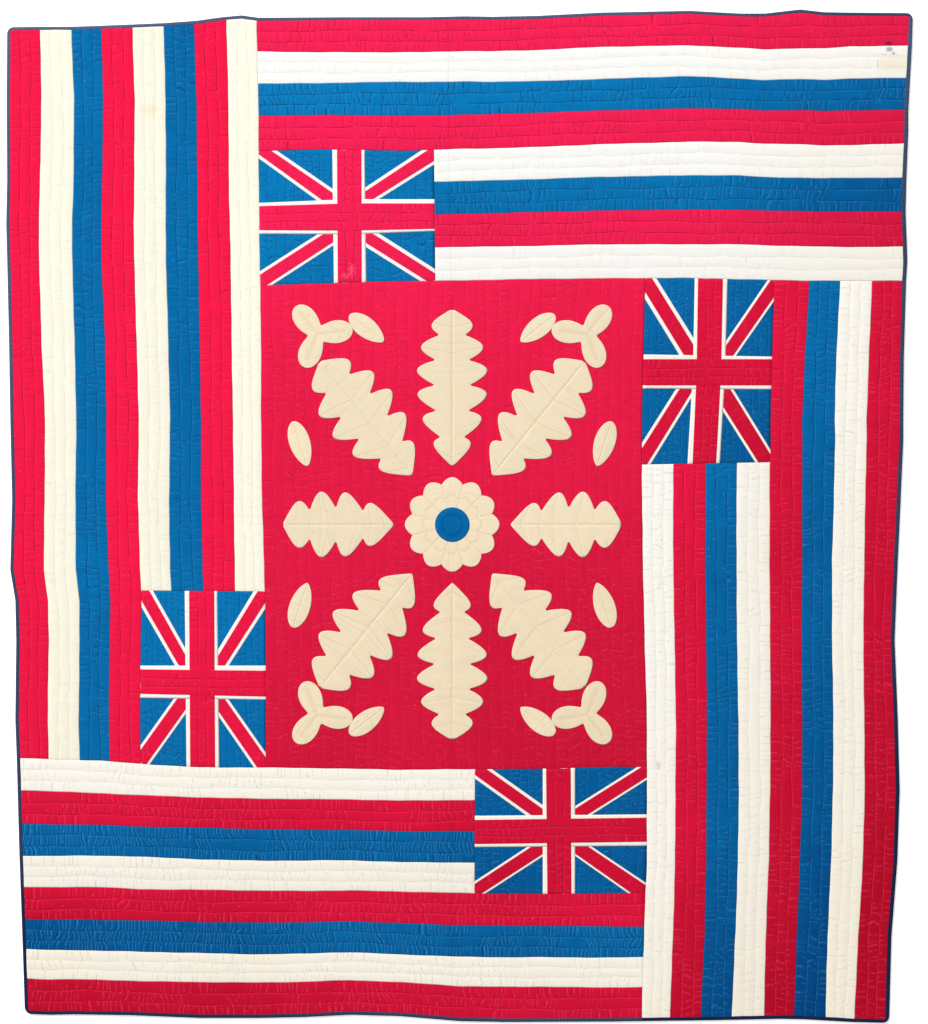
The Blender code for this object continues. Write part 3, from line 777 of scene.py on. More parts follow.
def settled(x: np.ndarray, y: np.ndarray) -> tuple[np.ndarray, np.ndarray]:
    """How the whole top has settled: a slow wave, and the two lines where the quilt was kept folded.

    The wave is a sine of one slanted distance times a cosine of another. Each fold is a narrow furrow.

    Args:
        x, y: places on the quilt, in metres.
    Returns:
        The change of height, and how much painted shade lies in the folds' furrows.
    """
    how = SETTLING
    sine, cosine = (by_x * x + by_y * y + start for by_x, by_y, start in (how.sine_slant, how.cosine_slant))
    wave = how.wave * np.sin(sine) * np.cos(cosine)
    off = x - how.upright - how.upright_stray[0] * np.sin(how.upright_stray[1] * y)
    beside = np.exp(-(((off - how.beside_shift) / how.beside_width) ** 2))
    upright = np.exp(-((off / how.upright_width) ** 2)) + how.beside_share * beside
    off = y - how.level - how.level_stray[0] * np.sin(how.level_stray[1] * x)
    level = np.exp(-((off / how.level_width) ** 2))
    change = wave - how.depth * (upright + how.level_share * level)
    # The folds' painted shade.
    return change, how.tones[0] * upright + how.tones[1] * level


@dataclass(frozen=True)
class Quilting:
    """How a patch is stitched and padded. Heights are above the floor, in metres.

    Stitched rows run along the patch and part it into strips, and short puckers cross each strip. The tones
    are how far painted shade darkens its rows, puckers and seams, and fine how many fine creases of painted
    shade cross the strips.
    """

    strips: int = 3
    end: float = 4.4 * MM
    side: float = 4.5 * MM
    row: float = 4.75 * MM
    puff: float = 0.38 * MM
    pucker: float = 0.5 * MM
    gaps: tuple[float, float] = (6.0 * MM, 22.0 * MM)
    row_tone: float = 0.9
    pucker_tone: float = 0.3
    seam_tone: float = 0.4
    fine: float = 0.6
    wander: float = 0.07


@dataclass(frozen=True)
class Puckering:
    """How puckers and rows are drawn at random, in metres, but for width and lean in millimetres.

    A pucker's strength comes from a beta distribution and swells and fades along the strip. Its width, its
    reach and the swell's length each lie between a least and a most. Beside each pucker the cloth rises. A
    row strays by a long sine and a weaker short one.
    """

    strength: tuple[float, float] = (1.2, 1.6)
    swell: float = 0.45
    swell_length: tuple[float, float] = (0.03, 0.07)
    width: tuple[float, float] = (1.0, 1.9)
    lean: float = 2.6
    reach: tuple[float, float] = (0.3, 0.8)
    rise: float = 0.35
    rise_shift: float = 3.4 * MM
    rise_width: float = 1.8 * MM
    stray_lengths: tuple[float, float] = (0.062, 0.021)
    short_share: float = 0.6


PUCKERING = Puckering()
SEAM_FALL = 3.0 * MM
SEAM_CURVE = 1.3


@dataclass
class Patch:
    """One cut of cloth between four lines: its two long sides, and its start and end.

    Cells are places within each strip, and pitch is the step along it. Lip is the small step at each end, and
    turned how far the edge goes down.
    """

    name: str
    run: Run
    low: Line
    high: Line
    start: Line
    end: Line
    quilting: Quilting
    cotton: Cotton
    depth: float = 0.5
    pitch: float = 2.5 * MM
    cells: tuple[float, ...] = (0.0, 0.07, 0.5, 0.93)
    allowance: float = 6.0 * MM
    lip: float = 1.2 * MM
    turned: float = 0.9 * MM

    def steps_across(self) -> np.ndarray:
        """Places across the patch, counted in strips, closer together by each stitched row."""
        strips = self.quilting.strips
        return np.append((np.arange(strips)[:, None] + np.array(self.cells)).ravel(), strips)

    def steps_along(self, length: float) -> np.ndarray:
        """Shares of the way along the patch, even but for a small step at each end.

        Args:
            length: the patch's length in metres.
        Returns:
            The shares, from 0 to 1.
        """
        lip = self.lip / length
        even = np.linspace(0.0, 1.0, max(4, round(length / self.pitch)) + 1)[1:-1]
        return np.concatenate([[0.0, lip], even, [1.0 - lip, 1.0]])

    def size(self) -> tuple[float, float]:
        """The patch's width and length between its sides' middles.

        Returns:
            The width and the length, in metres.
        """
        middle = np.zeros(1)
        for _ in range(3):
            across = (self.low(middle) + self.high(middle)) / 2.0
            middle = (self.start(across) + self.end(across)) / 2.0
        width = abs(float((self.high(middle) - self.low(middle))[0]))
        return width, abs(float((self.end(across) - self.start(across))[0]))

    def wandering(self, steps: np.ndarray, place: np.ndarray, random: np.random.Generator) -> np.ndarray:
        """How far the rows stray from straight, in strips: two slow sines for each row, none at the seams.

        Args:
            steps: places across the patch, counted in strips.
            place: places along the patch, in metres.
            random: the source of random draws.
        Returns:
            The stray of each point of the grid.
        """
        knots = np.zeros((self.quilting.strips + 1, len(place)))
        long, short = PUCKERING.stray_lengths
        for row in range(1, self.quilting.strips):
            turn, fine = random.uniform(0.0, 2.0 * math.pi, 2)
            stray = np.sin(place / long + turn) + PUCKERING.short_share * np.sin(place / short + fine)
            knots[row] = self.quilting.wander * stray
        low = np.minimum(steps.astype(int), self.quilting.strips - 1)
        part = (steps - low)[:, None]
        return knots[low] * (1.0 - part) + knots[low + 1] * part

    def puckers(self, steps: np.ndarray, place: np.ndarray, random: np.random.Generator) -> np.ndarray:
        """How deep each point lies in the nearest pucker, from 0 to 1.

        The puckers of a strip are unevenly spaced. A pucker's depth is a bell curve of the distance along the
        strip, it leans a little, and it fades out across the strip away from its own middle.

        Args:
            steps: places across the patch, counted in strips.
            place: places along the patch, in metres.
            random: the source of random draws.
        Returns:
            The depth at each point of the grid.
        """
        how = PUCKERING
        depth = np.zeros((len(steps), len(place)))
        shortest, longest = self.quilting.gaps
        for strip in range(self.quilting.strips):
            count = int(2.0 * place[-1] / (shortest + longest)) + 6
            spots = np.cumsum(random.uniform(shortest, longest, count)) - longest
            strength = random.beta(*how.strength, count)
            swell = np.sin(spots / random.uniform(*how.swell_length) + random.uniform(0.0, 6.0))
            strength *= 1.0 - how.swell + how.swell * swell
            width = random.uniform(*how.width, count) * MM
            lean = random.normal(0.0, how.lean, count) * MM
            middle = random.uniform(0.0, 1.0, count)
            reach = random.uniform(*how.reach, count)
            near = np.searchsorted((spots[1:] + spots[:-1]) / 2.0, place)
            inside = (steps >= strip) & (steps <= strip + 1)
            part = (steps[inside] - strip)[:, None]
            off = place - spots[near] - lean[near] * (part - 0.5)
            rise = how.rise * np.exp(-(((off - how.rise_shift) / how.rise_width) ** 2))
            bell = np.exp(-((off / width[near]) ** 2)) - rise
            fade = np.exp(-(((part - middle[near]) / reach[near]) ** 4))
            depth[inside] += strength[near] * bell * fade
        return depth

    def grid(self, random: np.random.Generator) -> ClothGrid:
        """The patch's surface.

        Each point lies at its share of the way between the long sides and between the ends, found by going
        from one to the other until it settles. Its height is the line from seam to row, plus the padding's
        bow between them, less the puckers, and all of it falls to the seam's height at both ends.

        Args:
            random: the source of random draws.
        Returns:
            The grid, without turned edges.
        """
        quilting = self.quilting
        steps = self.steps_across()
        _, length = self.size()
        shares = self.steps_along(length)
        place = shares * length
        across_share = (steps[:, None] + self.wandering(steps, place, random)) / quilting.strips
        along = np.zeros(across_share.shape)
        for _ in range(5):
            low, high = self.low(along), self.high(along)
            across = low + (high - low) * across_share
            start, end = self.start(across), self.end(across)
            along = start + (end - start) * shares
        knots = np.full(quilting.strips + 1, quilting.row)
        knots[[0, -1]] = quilting.side
        part = steps % 1.0
        bow = quilting.puff * (4.0 * part * (1.0 - part)) ** 0.4
        level = np.interp(steps, np.arange(quilting.strips + 1), knots) + bow
        dents = self.puckers(steps, place, random)
        near_end = np.minimum(place, length - place) / SEAM_FALL
        drop = 1.0 - np.exp(-(near_end**SEAM_CURVE))
        x, y = (across, along) if self.run is Run.UP else (along, across)
        change, fold = settled(x, y)
        height = level[:, None] - quilting.pucker * dents
        height = quilting.end + (height - quilting.end) * drop + change
        # Painted shade in the puckers, along the seams at the patch's edges and, below, in the folds.
        crease = np.clip(dents, 0.0, 1.0) * quilting.pucker_tone
        crease[[0, -1]] = quilting.seam_tone
        crease[:, [0, -1]] = quilting.seam_tone
        strip = np.clip(steps, 0.5, quilting.strips - 0.5)[:, None]
        if (x[-1, 0] < x[0, 0]) if self.run is Run.UP else (y[-1, 0] > y[0, 0]):
            strip = quilting.strips - strip
        return ClothGrid(np.stack([x, y, height], axis=2), np.clip(crease + fold, 0.0, 1.0), strip=strip)

    def make(self, bench: Workbench, tone: float | None = None) -> bpy.types.Object:
        """Puts the patch in the scene as a sheet that lies on the padding.

        Args:
            bench: where pieces are made.
            tone: the cloth's lightness, or None for one that is drawn for it.
        Returns:
            The piece.
        """
        grid = self.grid(bench.random).turned_down(self.turned)
        width, length = self.size()
        quilting = self.quilting
        # Lit sets the side of the painted highlights.
        lit = 1.0 if self.run is Run.UP else -1.0
        wear_and_shade = WearAndShade(self.depth, tone, quilting.fine, quilting.row_tone, width / quilting.strips, lit)
        piece = bench.piece(self.name, [grid], self.cotton, wear_and_shade)
        return piece


# The quilt's layout, in millimetres from the middle


@dataclass(frozen=True)
class Border:
    """One edge of the quilt: places along it, and how far it is from the middle."""

    along: tuple[float, ...]
    off: tuple[float, ...]

    def at(self, place: np.ndarray) -> np.ndarray:
        """The edge's distance from the middle at places along it, all in metres."""
        return np.interp(place, np.array(self.along) * MM, np.array(self.off) * MM)


@dataclass(frozen=True)
class Flag:
    """One flag's seams at stations along it, counted from the quilt's edge to the centre panel."""

    name: str
    run: Run
    border: Border
    station: tuple[float, ...]
    seams: tuple[tuple[float, ...], ...]

    def seam(self, number: float) -> Line:
        """A seam, or a line part of the way between two, as a function of the place along the flag.

        Its share of the way from the quilt's outline to the last seam comes from the table.

        Args:
            number: the seam's number from the quilt's edge, which may have a fraction.
        Returns:
            The line.
        """
        edge, inner = self.border.at(np.array(self.station) * MM) / MM, np.array(self.seams[-1], float)
        shares = [np.zeros(len(edge))] + [(np.array(line) - edge) / (inner - edge) for line in self.seams]
        low, part = divmod(number, 1.0)
        share = shares[int(low)] * (1.0 - part) + shares[min(int(low) + 1, 8)] * part

        def line(place: np.ndarray) -> np.ndarray:
            """The line's distance from the middle at places along the flag, with a sewn seam's wobble.

            Args:
                place: places along the flag, in metres.
            Returns:
                The distances, in metres.
            """
            station = np.array(self.station) * MM
            outer = self.border.at(place)
            short, long = (place / length for length in SEAM_WOBBLE_LENGTHS)
            wobble = SEAM_WOBBLE * np.sin(short + 2.0 * number) * np.sin(long + 5.0 * number)
            width = np.interp(place, station, inner * MM) - outer
            return outer + width * np.interp(place, station, share) + wobble

        return line

    def hem(self) -> Line:
        """The outer stripe's own edge, which is hidden under the binding.

        Returns:
            The line.
        """
        hidden = BINDING_WIDTHS[self.name] - HEM_UNDER_BINDING
        inward = math.copysign(hidden, self.seams[-1][0] - self.border.off[0])
        return lambda place: self.border.at(place) + inward


def straight(start: tuple[float, float], end: tuple[float, float]) -> Line:
    """A straight line between two (place, distance) points in millimetres, carried on past its ends."""
    slope = (end[1] - start[1]) / (end[0] - start[0])
    return lambda place: start[1] * MM + slope * (place - start[0] * MM)


def through(points: tuple[tuple[float, float], ...]) -> Line:
    """A line through (place, distance) points in millimetres."""
    places, off = np.array(sorted(points)).T * MM
    return lambda place: np.interp(place, places, off)


TOP_EDGE = Border(
    (-993, -925, -854, -746, -653, -581, -525, -480, -444, -405, -257, -180, -79, 9, 70, 170, 308, 506, 616,
     670, 748, 800, 860, 992),
    (1074, 1075, 1075, 1079, 1083, 1088, 1096, 1100, 1095, 1095, 1096, 1096, 1096, 1098, 1097, 1099, 1106,
     1110, 1104, 1104, 1113, 1107, 1106, 1105),
)
BOTTOM_EDGE = Border(
    (-955, -900, -850, -724, -572, -440, -340, -240, -132, 0, 100, 330, 405, 560, 704, 757, 810, 862, 945),
    (-1096, -1098, -1097, -1099, -1105, -1105, -1103, -1098, -1101, -1112, -1114, -1113, -1112, -1110, -1107,
     -1108, -1111, -1114, -1116),
)
LEFT_EDGE = Border(
    (-1092, -1000, -855, -747, -640, -531, -450, -274, -186, -120, 34, 210, 386, 562, 640, 738, 914, 1070),
    (-957, -960, -965, -969, -972, -975, -978, -976, -978, -989, -985, -989, -992, -996, -998, -996, -997,
     -996),
)
RIGHT_EDGE = Border(
    (-1110, -925, -758, -604, -450, -274, -98, 8, 78, 166, 210, 342, 512, 562, 668, 747, 846, 891, 963, 1033,
     1104),
    (944, 949, 962, 967, 963, 956, 963, 968, 971, 975, 975, 976, 981, 984, 980, 982, 986, 986, 990, 994, 996),
)
CORNER_ROUNDING = 15.0 * MM
SEAM_WOBBLE = 0.45 * MM
SEAM_WOBBLE_LENGTHS = (0.017, 0.041)
HEM_UNDER_BINDING = 1.3 * MM
BINDING_WIDTHS = {"top": 7.8 * MM, "right": 9.8 * MM, "bottom": 8.6 * MM, "left": 8.6 * MM}
LEFT = Flag(
    "left", Run.UP, LEFT_EDGE,
    (-527, -274, -120, 34, 210, 386, 562, 738, 914, 1068),
    (
        (-904, -904, -915, -913, -912, -920, -925, -923, -920, -923),
        (-836, -836, -844, -845, -843, -847, -852, -849, -848, -854),
        (-770, -770, -772, -778, -777, -780, -788, -786, -784, -788),
        (-702, -702, -703, -708, -706, -711, -716, -716, -715, -720),
        (-632, -633, -637, -639, -637, -641, -646, -646, -647, -651),
        (-564, -564, -565, -569, -569, -572, -575, -577, -579, -584),
        (-495, -495, -495, -497, -499, -502, -504, -508, -509, -513),
        (-427, -427, -430, -435, -437, -437, -440, -442, -443, -447),
    ),
)
RIGHT = Flag(
    "right", Run.UP, RIGHT_EDGE,
    (-1088, -912, -758, -604, -450, -274, -98, 78, 210, 342, 512),
    (
        (868, 877, 886, 890, 889, 887, 889, 892, 894, 899, 906),
        (804, 809, 816, 820, 821, 818, 818, 823, 824, 827, 836),
        (735, 741, 747, 752, 752, 751, 752, 752, 752, 758, 768),
        (669, 673, 679, 682, 683, 682, 681, 681, 683, 686, 691),
        (598, 606, 611, 613, 612, 609, 608, 608, 612, 615, 618),
        (530, 538, 541, 542, 543, 541, 539, 540, 541, 543, 548),
        (462, 469, 473, 474, 475, 472, 469, 469, 471, 473, 478),
        (400, 405, 411, 411, 411, 406, 402, 400, 400, 403, 407),
    ),
)
TOP = Flag(
    "top", Run.ACROSS, TOP_EDGE,
    (-440, -308, -132, -22, 132, 308, 484, 616, 748, 858, 979),
    (
        (1020, 1018, 1018, 1020, 1022, 1030, 1033, 1028, 1027, 1031, 1033),
        (949, 950, 953, 953, 954, 959, 965, 960, 959, 960, 962),
        (879, 880, 879, 880, 884, 890, 894, 893, 891, 890, 892),
        (801, 805, 802, 805, 809, 816, 821, 821, 816, 814, 818),
        (731, 735, 734, 734, 738, 744, 747, 747, 742, 742, 742),
        (657, 661, 661, 662, 666, 670, 672, 672, 669, 668, 668),
        (584, 588, 588, 590, 592, 596, 596, 596, 592, 590, 591),
        (505, 510, 515, 516, 519, 521, 522, 519, 516, 516, 516),
    ),
)
BOTTOM = Flag(
    "bottom", Run.ACROSS, BOTTOM_EDGE,
    (-959, -792, -704, -572, -440, -286, -132, 0, 176, 308, 396),
    (
        (-1018, -1021, -1024, -1026, -1027, -1023, -1026, -1035, -1036, -1038, -1037),
        (-953, -957, -959, -962, -965, -961, -965, -970, -971, -972, -971),
        (-887, -889, -890, -894, -895, -893, -896, -901, -902, -903, -904),
        (-817, -817, -822, -823, -825, -825, -827, -830, -832, -831, -830),
        (-748, -748, -750, -756, -759, -758, -762, -763, -763, -763, -763),
        (-678, -680, -684, -686, -690, -691, -694, -694, -694, -693, -692),
        (-604, -611, -615, -620, -623, -624, -627, -626, -626, -624, -622),
        (-534, -539, -546, -554, -554, -556, -559, -558, -557, -553, -553),
    ),
)
CANTON_ENDS = {
    "left": straight((-702, -165), (-428, -167)),
    "top": straight((517, -54), (803, -57)),
    "right": straight((403, 112), (681, 117)),
    "bottom": straight((-833, 32), (-559, 33)),
}


def eased(points: np.ndarray) -> np.ndarray:
    """Rounds off the quilt's four corners, with all the cloth that lies there.

    Within a rounding's reach of both edges, the square corner is spread over a quarter of a disc.

    Args:
        points: places on the quilt, as an array with x, y and z last.
    Returns:
        The moved places.
    """
    x, y, z = np.moveaxis(points, 2, 0)
    reach = CORNER_ROUNDING
    for border_x, turn_x in ((LEFT_EDGE, 1.0), (RIGHT_EDGE, -1.0)):
        for border_y, turn_y in ((BOTTOM_EDGE, 1.0), (TOP_EDGE, -1.0)):
            p = np.maximum(1.0 - turn_x * (x - border_x.at(y)) / reach, 0.0)
            q = np.maximum(1.0 - turn_y * (y - border_y.at(x)) / reach, 0.0)
            x = x + turn_x * reach * p * (1.0 - np.sqrt(1.0 - np.minimum(q, 1.0) ** 2 / 2.0))
            y = y + turn_y * reach * q * (1.0 - np.sqrt(1.0 - np.minimum(p, 1.0) ** 2 / 2.0))
    return np.stack([x, y, z], axis=2)


@dataclass
class Stripes:
    """A flag's eight stripes. The inner four stop at the canton, and the outer four run past it.

    Cloths, depths and the order of the stripes are red, white and blue, and the whites have a fineness of
    their own and fainter rows.
    """

    flag: Flag
    outer_end: Line
    far_hem: Line
    quilting: Quilting
    blue_quilting: Quilting
    cloths: tuple[Cotton, Cotton, Cotton]
    depths: tuple[float, float, float]
    white_fine: float
    white_row_tone: float = 0.55

    def make(self, bench: Workbench) -> list[bpy.types.Object]:
        """Sews the stripes in, red, white and blue from the quilt's edge inward.

        Args:
            bench: where pieces are made.
        Returns:
            The pieces, in the order they are sewn.
        """
        made = []
        for number in range(8):
            cotton, depth = self.cloths[number % 3], self.depths[number % 3]
            near = self.outer_end if number < 4 else CANTON_ENDS[self.flag.name]
            ends = (near, self.far_hem)
            if self.flag.name in ("right", "bottom"):
                ends = ends[::-1]
            quilting = self.blue_quilting if number % 3 == 2 else self.quilting
            if number % 3 == 1:
                quilting = replace(quilting, fine=self.white_fine, row_tone=self.white_row_tone)
            patch = Patch(
                f"stripe_{self.flag.name}_{number + 1}",
                self.flag.run,
                self.flag.seam(number) if number else self.flag.hem(),
                self.flag.seam(number + 1),
                *ends,
                quilting,
                cotton,
                depth,
            )
            made.append(patch.make(bench))
        return made


@dataclass
class Canton:
    """One canton: a blue ground with white-edged red bands from its corners, under a white-edged red cross.

    Arms are (place, low side, high side) at stations, in millimetres, first of the red and then of the white
    under it. Each band is its two white lines, each from its outer to its inner end as (x, y). Band heights
    and flat widths are the white's and then the red's, and a band goes on under the cross.
    """

    name: str
    left: Line
    right: Line
    bottom: Line
    top: Line
    upright_red: tuple[tuple[float, float, float], ...]
    upright_white: tuple[tuple[float, float, float], ...]
    level_red: tuple[tuple[float, float, float], ...]
    level_white: tuple[tuple[float, float, float], ...]
    bands: tuple[tuple[tuple[float, float], ...], ...]
    depth: float
    red: Cotton = RED
    ground_quilting: Quilting = Quilting(
        strips=20, end=4.1 * MM, side=4.15 * MM, row=4.85 * MM, puff=0.35 * MM, pucker=0.35 * MM,
        gaps=(8.0 * MM, 20.0 * MM), row_tone=0.6, fine=0.85, wander=0.14,
    )
    band_heights: tuple[float, float] = (5.45 * MM, 5.6 * MM)
    band_widths: tuple[float, float] = (0.039, 0.026)
    white_half: float = 3.0 * MM
    seam_height: float = 4.3 * MM
    seam_fall: float = 4.0 * MM
    under_cross: float = 30.0 * MM
    tuck: float = 1.2 * MM
    edge_drop: float = 0.1 * MM
    ripple: float = 0.05 * MM
    ripple_turns: float = 61.0
    arm_cells: tuple[float, ...] = (0.0, 0.05, 0.2, 0.5, 0.8, 0.95)
    pitch: float = 3.2 * MM

    def pad(self, x: np.ndarray, y: np.ndarray, height: np.ndarray) -> np.ndarray:
        """Brings a height down to the seam's towards the canton's four sides.

        Args:
            x, y: places on the quilt, in metres.
            height: the cloth's height there.
        Returns:
            The padded height.
        """
        share = 1.0
        for away in (x - self.left(y), self.right(y) - x, y - self.bottom(x), self.top(x) - y):
            share = share * (1.0 - np.exp(-((np.maximum(away, 0.0) / self.seam_fall) ** SEAM_CURVE)))
        return self.seam_height + (height - self.seam_height) * share

    def band(self, lines: tuple[tuple[float, float], ...], out: float, height: float) -> ClothGrid:
        """One band from a corner to under the cross.

        It is ruled between its two lines, moved out by a distance, and starts where each of its own lines
        comes in over the canton's side.

        Args:
            lines: the outer and inner ends of its two white lines, in millimetres.
            out: how far each side lies outside its line.
            height: the band's height above the floor.
        Returns:
            The band's surface, without turned edges.
        """
        first, second = np.array(lines[:2]) * MM, np.array(lines[2:]) * MM
        run = first[1] - first[0] + second[1] - second[0]
        side = np.array([-run[1], run[0]]) / np.linalg.norm(run)
        side *= np.sign(np.dot(first[0] - second[0], side))
        across = np.concatenate([[0.0, 0.03], np.linspace(0.08, 0.92, 13), [0.97, 1.0]])[:, None]
        begin = (first[0] + side * out) * (1.0 - across) + (second[0] - side * out) * across
        finish = (first[1] + side * out) * (1.0 - across) + (second[1] - side * out) * across
        finish = finish + (finish - begin) * (self.under_cross / np.linalg.norm(run / 2.0))
        travel = finish - begin
        tuck = self.tuck / np.linalg.norm(travel, axis=1)
        start = np.zeros(len(across))
        for _ in range(8):
            spot = begin + travel * start[:, None]
            side_x = self.left(spot[:, 1]) if travel[0, 0] > 0 else self.right(spot[:, 1])
            side_y = self.bottom(spot[:, 0]) if travel[0, 1] > 0 else self.top(spot[:, 0])
            start = np.maximum((side_x - begin[:, 0]) / travel[:, 0], (side_y - begin[:, 1]) / travel[:, 1])
        start = (start - tuck)[:, None]
        shares = start + (1.0 - start) * np.linspace(0.0, 1.0, 56)
        points = begin[:, None, :] + travel[:, None, :] * shares[..., None]
        x, y = points[..., 0], points[..., 1]
        edge = 1.0 * ((across == 0.0) | (across == 1.0))
        ripple = np.sin(shares * self.ripple_turns + across * 2.0)
        change, fold = settled(x, y)
        full = (across > 0.1) * (across < 0.9)
        z = self.pad(x, y, height - self.edge_drop * edge + self.ripple * ripple * full) + change
        # Painted shade along the band's edges, on its ripples and in the folds.
        crease = 0.25 * edge + 0.3 * np.clip(ripple - 0.7, 0.0, 1.0) + fold
        return ClothGrid(np.stack([x, y, z], axis=2), np.clip(crease, 0.0, 1.0))

    def arm(self, name: str, run: Run, table: tuple, quilting: Quilting, cotton: Cotton) -> Patch:
        """One strip of the cross from side to side of the canton.

        Args:
            name: the strip's own name.
            run: the way it runs.
            table: its (place, low side, high side) at stations, in millimetres.
            quilting: how it is stitched.
            cotton: its finish.
        Returns:
            The strip, ready to be made.
        """
        ends = (self.bottom, self.top) if run is Run.UP else (self.left, self.right)
        sides = [through(tuple((row[0], row[k]) for row in table)) for k in (1, 2)]
        name = f"canton_{self.name}_{name}"
        look = (quilting, cotton, self.depth, self.pitch, self.arm_cells, 3.0 * MM)
        return Patch(name, run, *sides, *ends, *look)

    def make(self, bench: Workbench) -> list[bpy.types.Object]:
        """Sews the ground, the bands and the cross.

        Args:
            bench: where pieces are made.
        Returns:
            The pieces, in the order they are sewn.
        """
        cells = (0.0, 0.22, 0.6)
        ground = Patch(
            f"canton_{self.name}_ground", Run.UP, self.left, self.right, self.bottom, self.top,
            self.ground_quilting, BLUE, self.depth, self.pitch, cells,
        )
        made = [ground.make(bench)]
        looks = (("white", WHITE, self.white_half), ("red", self.red, -self.white_half))
        for (label, cotton, out), height, width in zip(looks, self.band_heights, self.band_widths):
            outs = [out + float(bench.random.normal(0.0, 0.7)) * MM for _ in self.bands]
            grids = [self.band(*band, height).turned_down(0.6 * MM) for band in zip(self.bands, outs)]
            wear_and_shade = WearAndShade(self.depth, fine=0.5)
            piece = bench.piece(f"canton_{self.name}_bands_{label}", grids, cotton, wear_and_shade)
            lengths = [np.linalg.norm(np.subtract(lines[1], lines[0])) * MM + 0.04 for lines in self.bands]
            made.append(piece)
        white = Quilting(
            strips=1, side=5.75 * MM, row=5.78 * MM, puff=0.05 * MM, pucker=0.05 * MM, seam_tone=0.15,
            fine=0.3,
        )
        red = Quilting(
            strips=3, side=5.95 * MM, row=6.0 * MM, puff=0.2 * MM, pucker=0.25 * MM,
            gaps=(6.0 * MM, 20.0 * MM), row_tone=0.8, seam_tone=0.25, fine=0.7,
        )
        made.append(self.arm("upright_white", Run.UP, self.upright_white, white, WHITE).make(bench))
        lifted = replace(white, side=white.side + 0.08 * MM, row=white.row + 0.08 * MM)
        made.append(self.arm("level_white", Run.ACROSS, self.level_white, lifted, WHITE).make(bench))
        tone = bench.tone()
        made.append(self.arm("upright_red", Run.UP, self.upright_red, red, self.red).make(bench, tone))
        lifted = replace(red, side=red.side + 0.2 * MM, row=red.row + 0.2 * MM)
        made.append(self.arm("level_red", Run.ACROSS, self.level_red, lifted, self.red).make(bench, tone))
        return made


CANTONS = (
    Canton(
        "top", LEFT.seam(8), CANTON_ENDS["top"], TOP.seam(8), TOP.seam(4),
        ((508, -268.6, -215.8), (803, -270.6, -216.5)),
        ((508, -277, -206), (803, -280.5, -209.4)),
        ((-440, 627, 680), (-245, 626, 686), (-57, 630, 686)),
        ((-440, 619, 687), (-245, 618, 695), (-57, 625, 695)),
        (
            ((-408, 802), (-281, 715), (-440, 787), (-307, 691)),
            ((-78, 803), (-208, 717), (-57, 775), (-180, 698)),
            ((-438, 534), (-307, 618), (-416, 508), (-280, 596)),
            ((-56, 537), (-188, 621), (-82, 517), (-208, 596)),
        ),
        0.34,
        ROSE,
    ),
    Canton(
        "right", RIGHT.seam(8), RIGHT.seam(4), CANTON_ENDS["right"], TOP.seam(8),
        ((113, 511, 563), (315, 520, 574), (516, 523, 578)),
        ((113, 500, 571), (315, 512, 583), (516, 516, 588)),
        ((403, 286, 343.6), (695, 286, 343.6)),
        ((403, 279, 354), (695, 277, 349)),
        (
            ((429, 518), (511, 386), (408, 482), (484, 358)),
            ((677, 513), (586, 380), (693, 480), (604, 352)),
            ((405, 162), (479, 279), (420, 120), (500, 250)),
            ((681, 140), (598, 275), (656, 113), (573, 244)),
        ),
        0.48,
    ),
    Canton(
        "left", LEFT.seam(4), LEFT.seam(8), BOTTOM.seam(8), CANTON_ENDS["left"],
        ((-550, -593, -538), (-166, -595.5, -540)),
        ((-550, -601, -529), (-166, -605, -533.5)),
        ((-702, -392, -338), (-428, -398, -341)),
        ((-702, -401, -330), (-428, -405, -330)),
        (
            ((-678, -166), (-605, -296), (-700, -195), (-623, -329)),
            ((-451, -170), (-531, -301), (-430, -201), (-512, -329)),
            ((-699, -507), (-624, -402), (-687, -548), (-600, -426)),
            ((-428, -525), (-512, -405), (-450, -553), (-534, -431)),
        ),
        0.25,
    ),
    Canton(
        "bottom", CANTON_ENDS["bottom"], RIGHT.seam(8), BOTTOM.seam(4), BOTTOM.seam(8),
        ((-833, 192, 245), (-557, 189, 243.5)),
        ((-833, 182, 253), (-557, 182, 253)),
        ((33, -722, -669), (411, -717, -664)),
        ((33, -729, -660), (411, -726, -657)),
        (
            ((69, -561), (182, -641), (34, -575), (153, -660)),
            ((388, -556), (253, -641), (411, -579), (281, -661)),
            ((32, -807), (157, -725), (52, -831), (182, -747)),
            ((411, -812), (284, -727), (376, -832), (251, -744)),
        ),
        0.42,
    ),
)


# The medallion


@dataclass(frozen=True)
class Cutting:
    """One cut piece of the medallion, in metres: a leaf, a bud, a trefoil, the rosette or its round patch."""

    name: str
    place: tuple[float, float]
    heading: float
    length: float
    half_width: float = 0.0
    lobes: int = 0
    petals: int = 0
    notch: float = 0.0
    seat: float = 6.0 * MM
    puff: float = 0.5 * MM


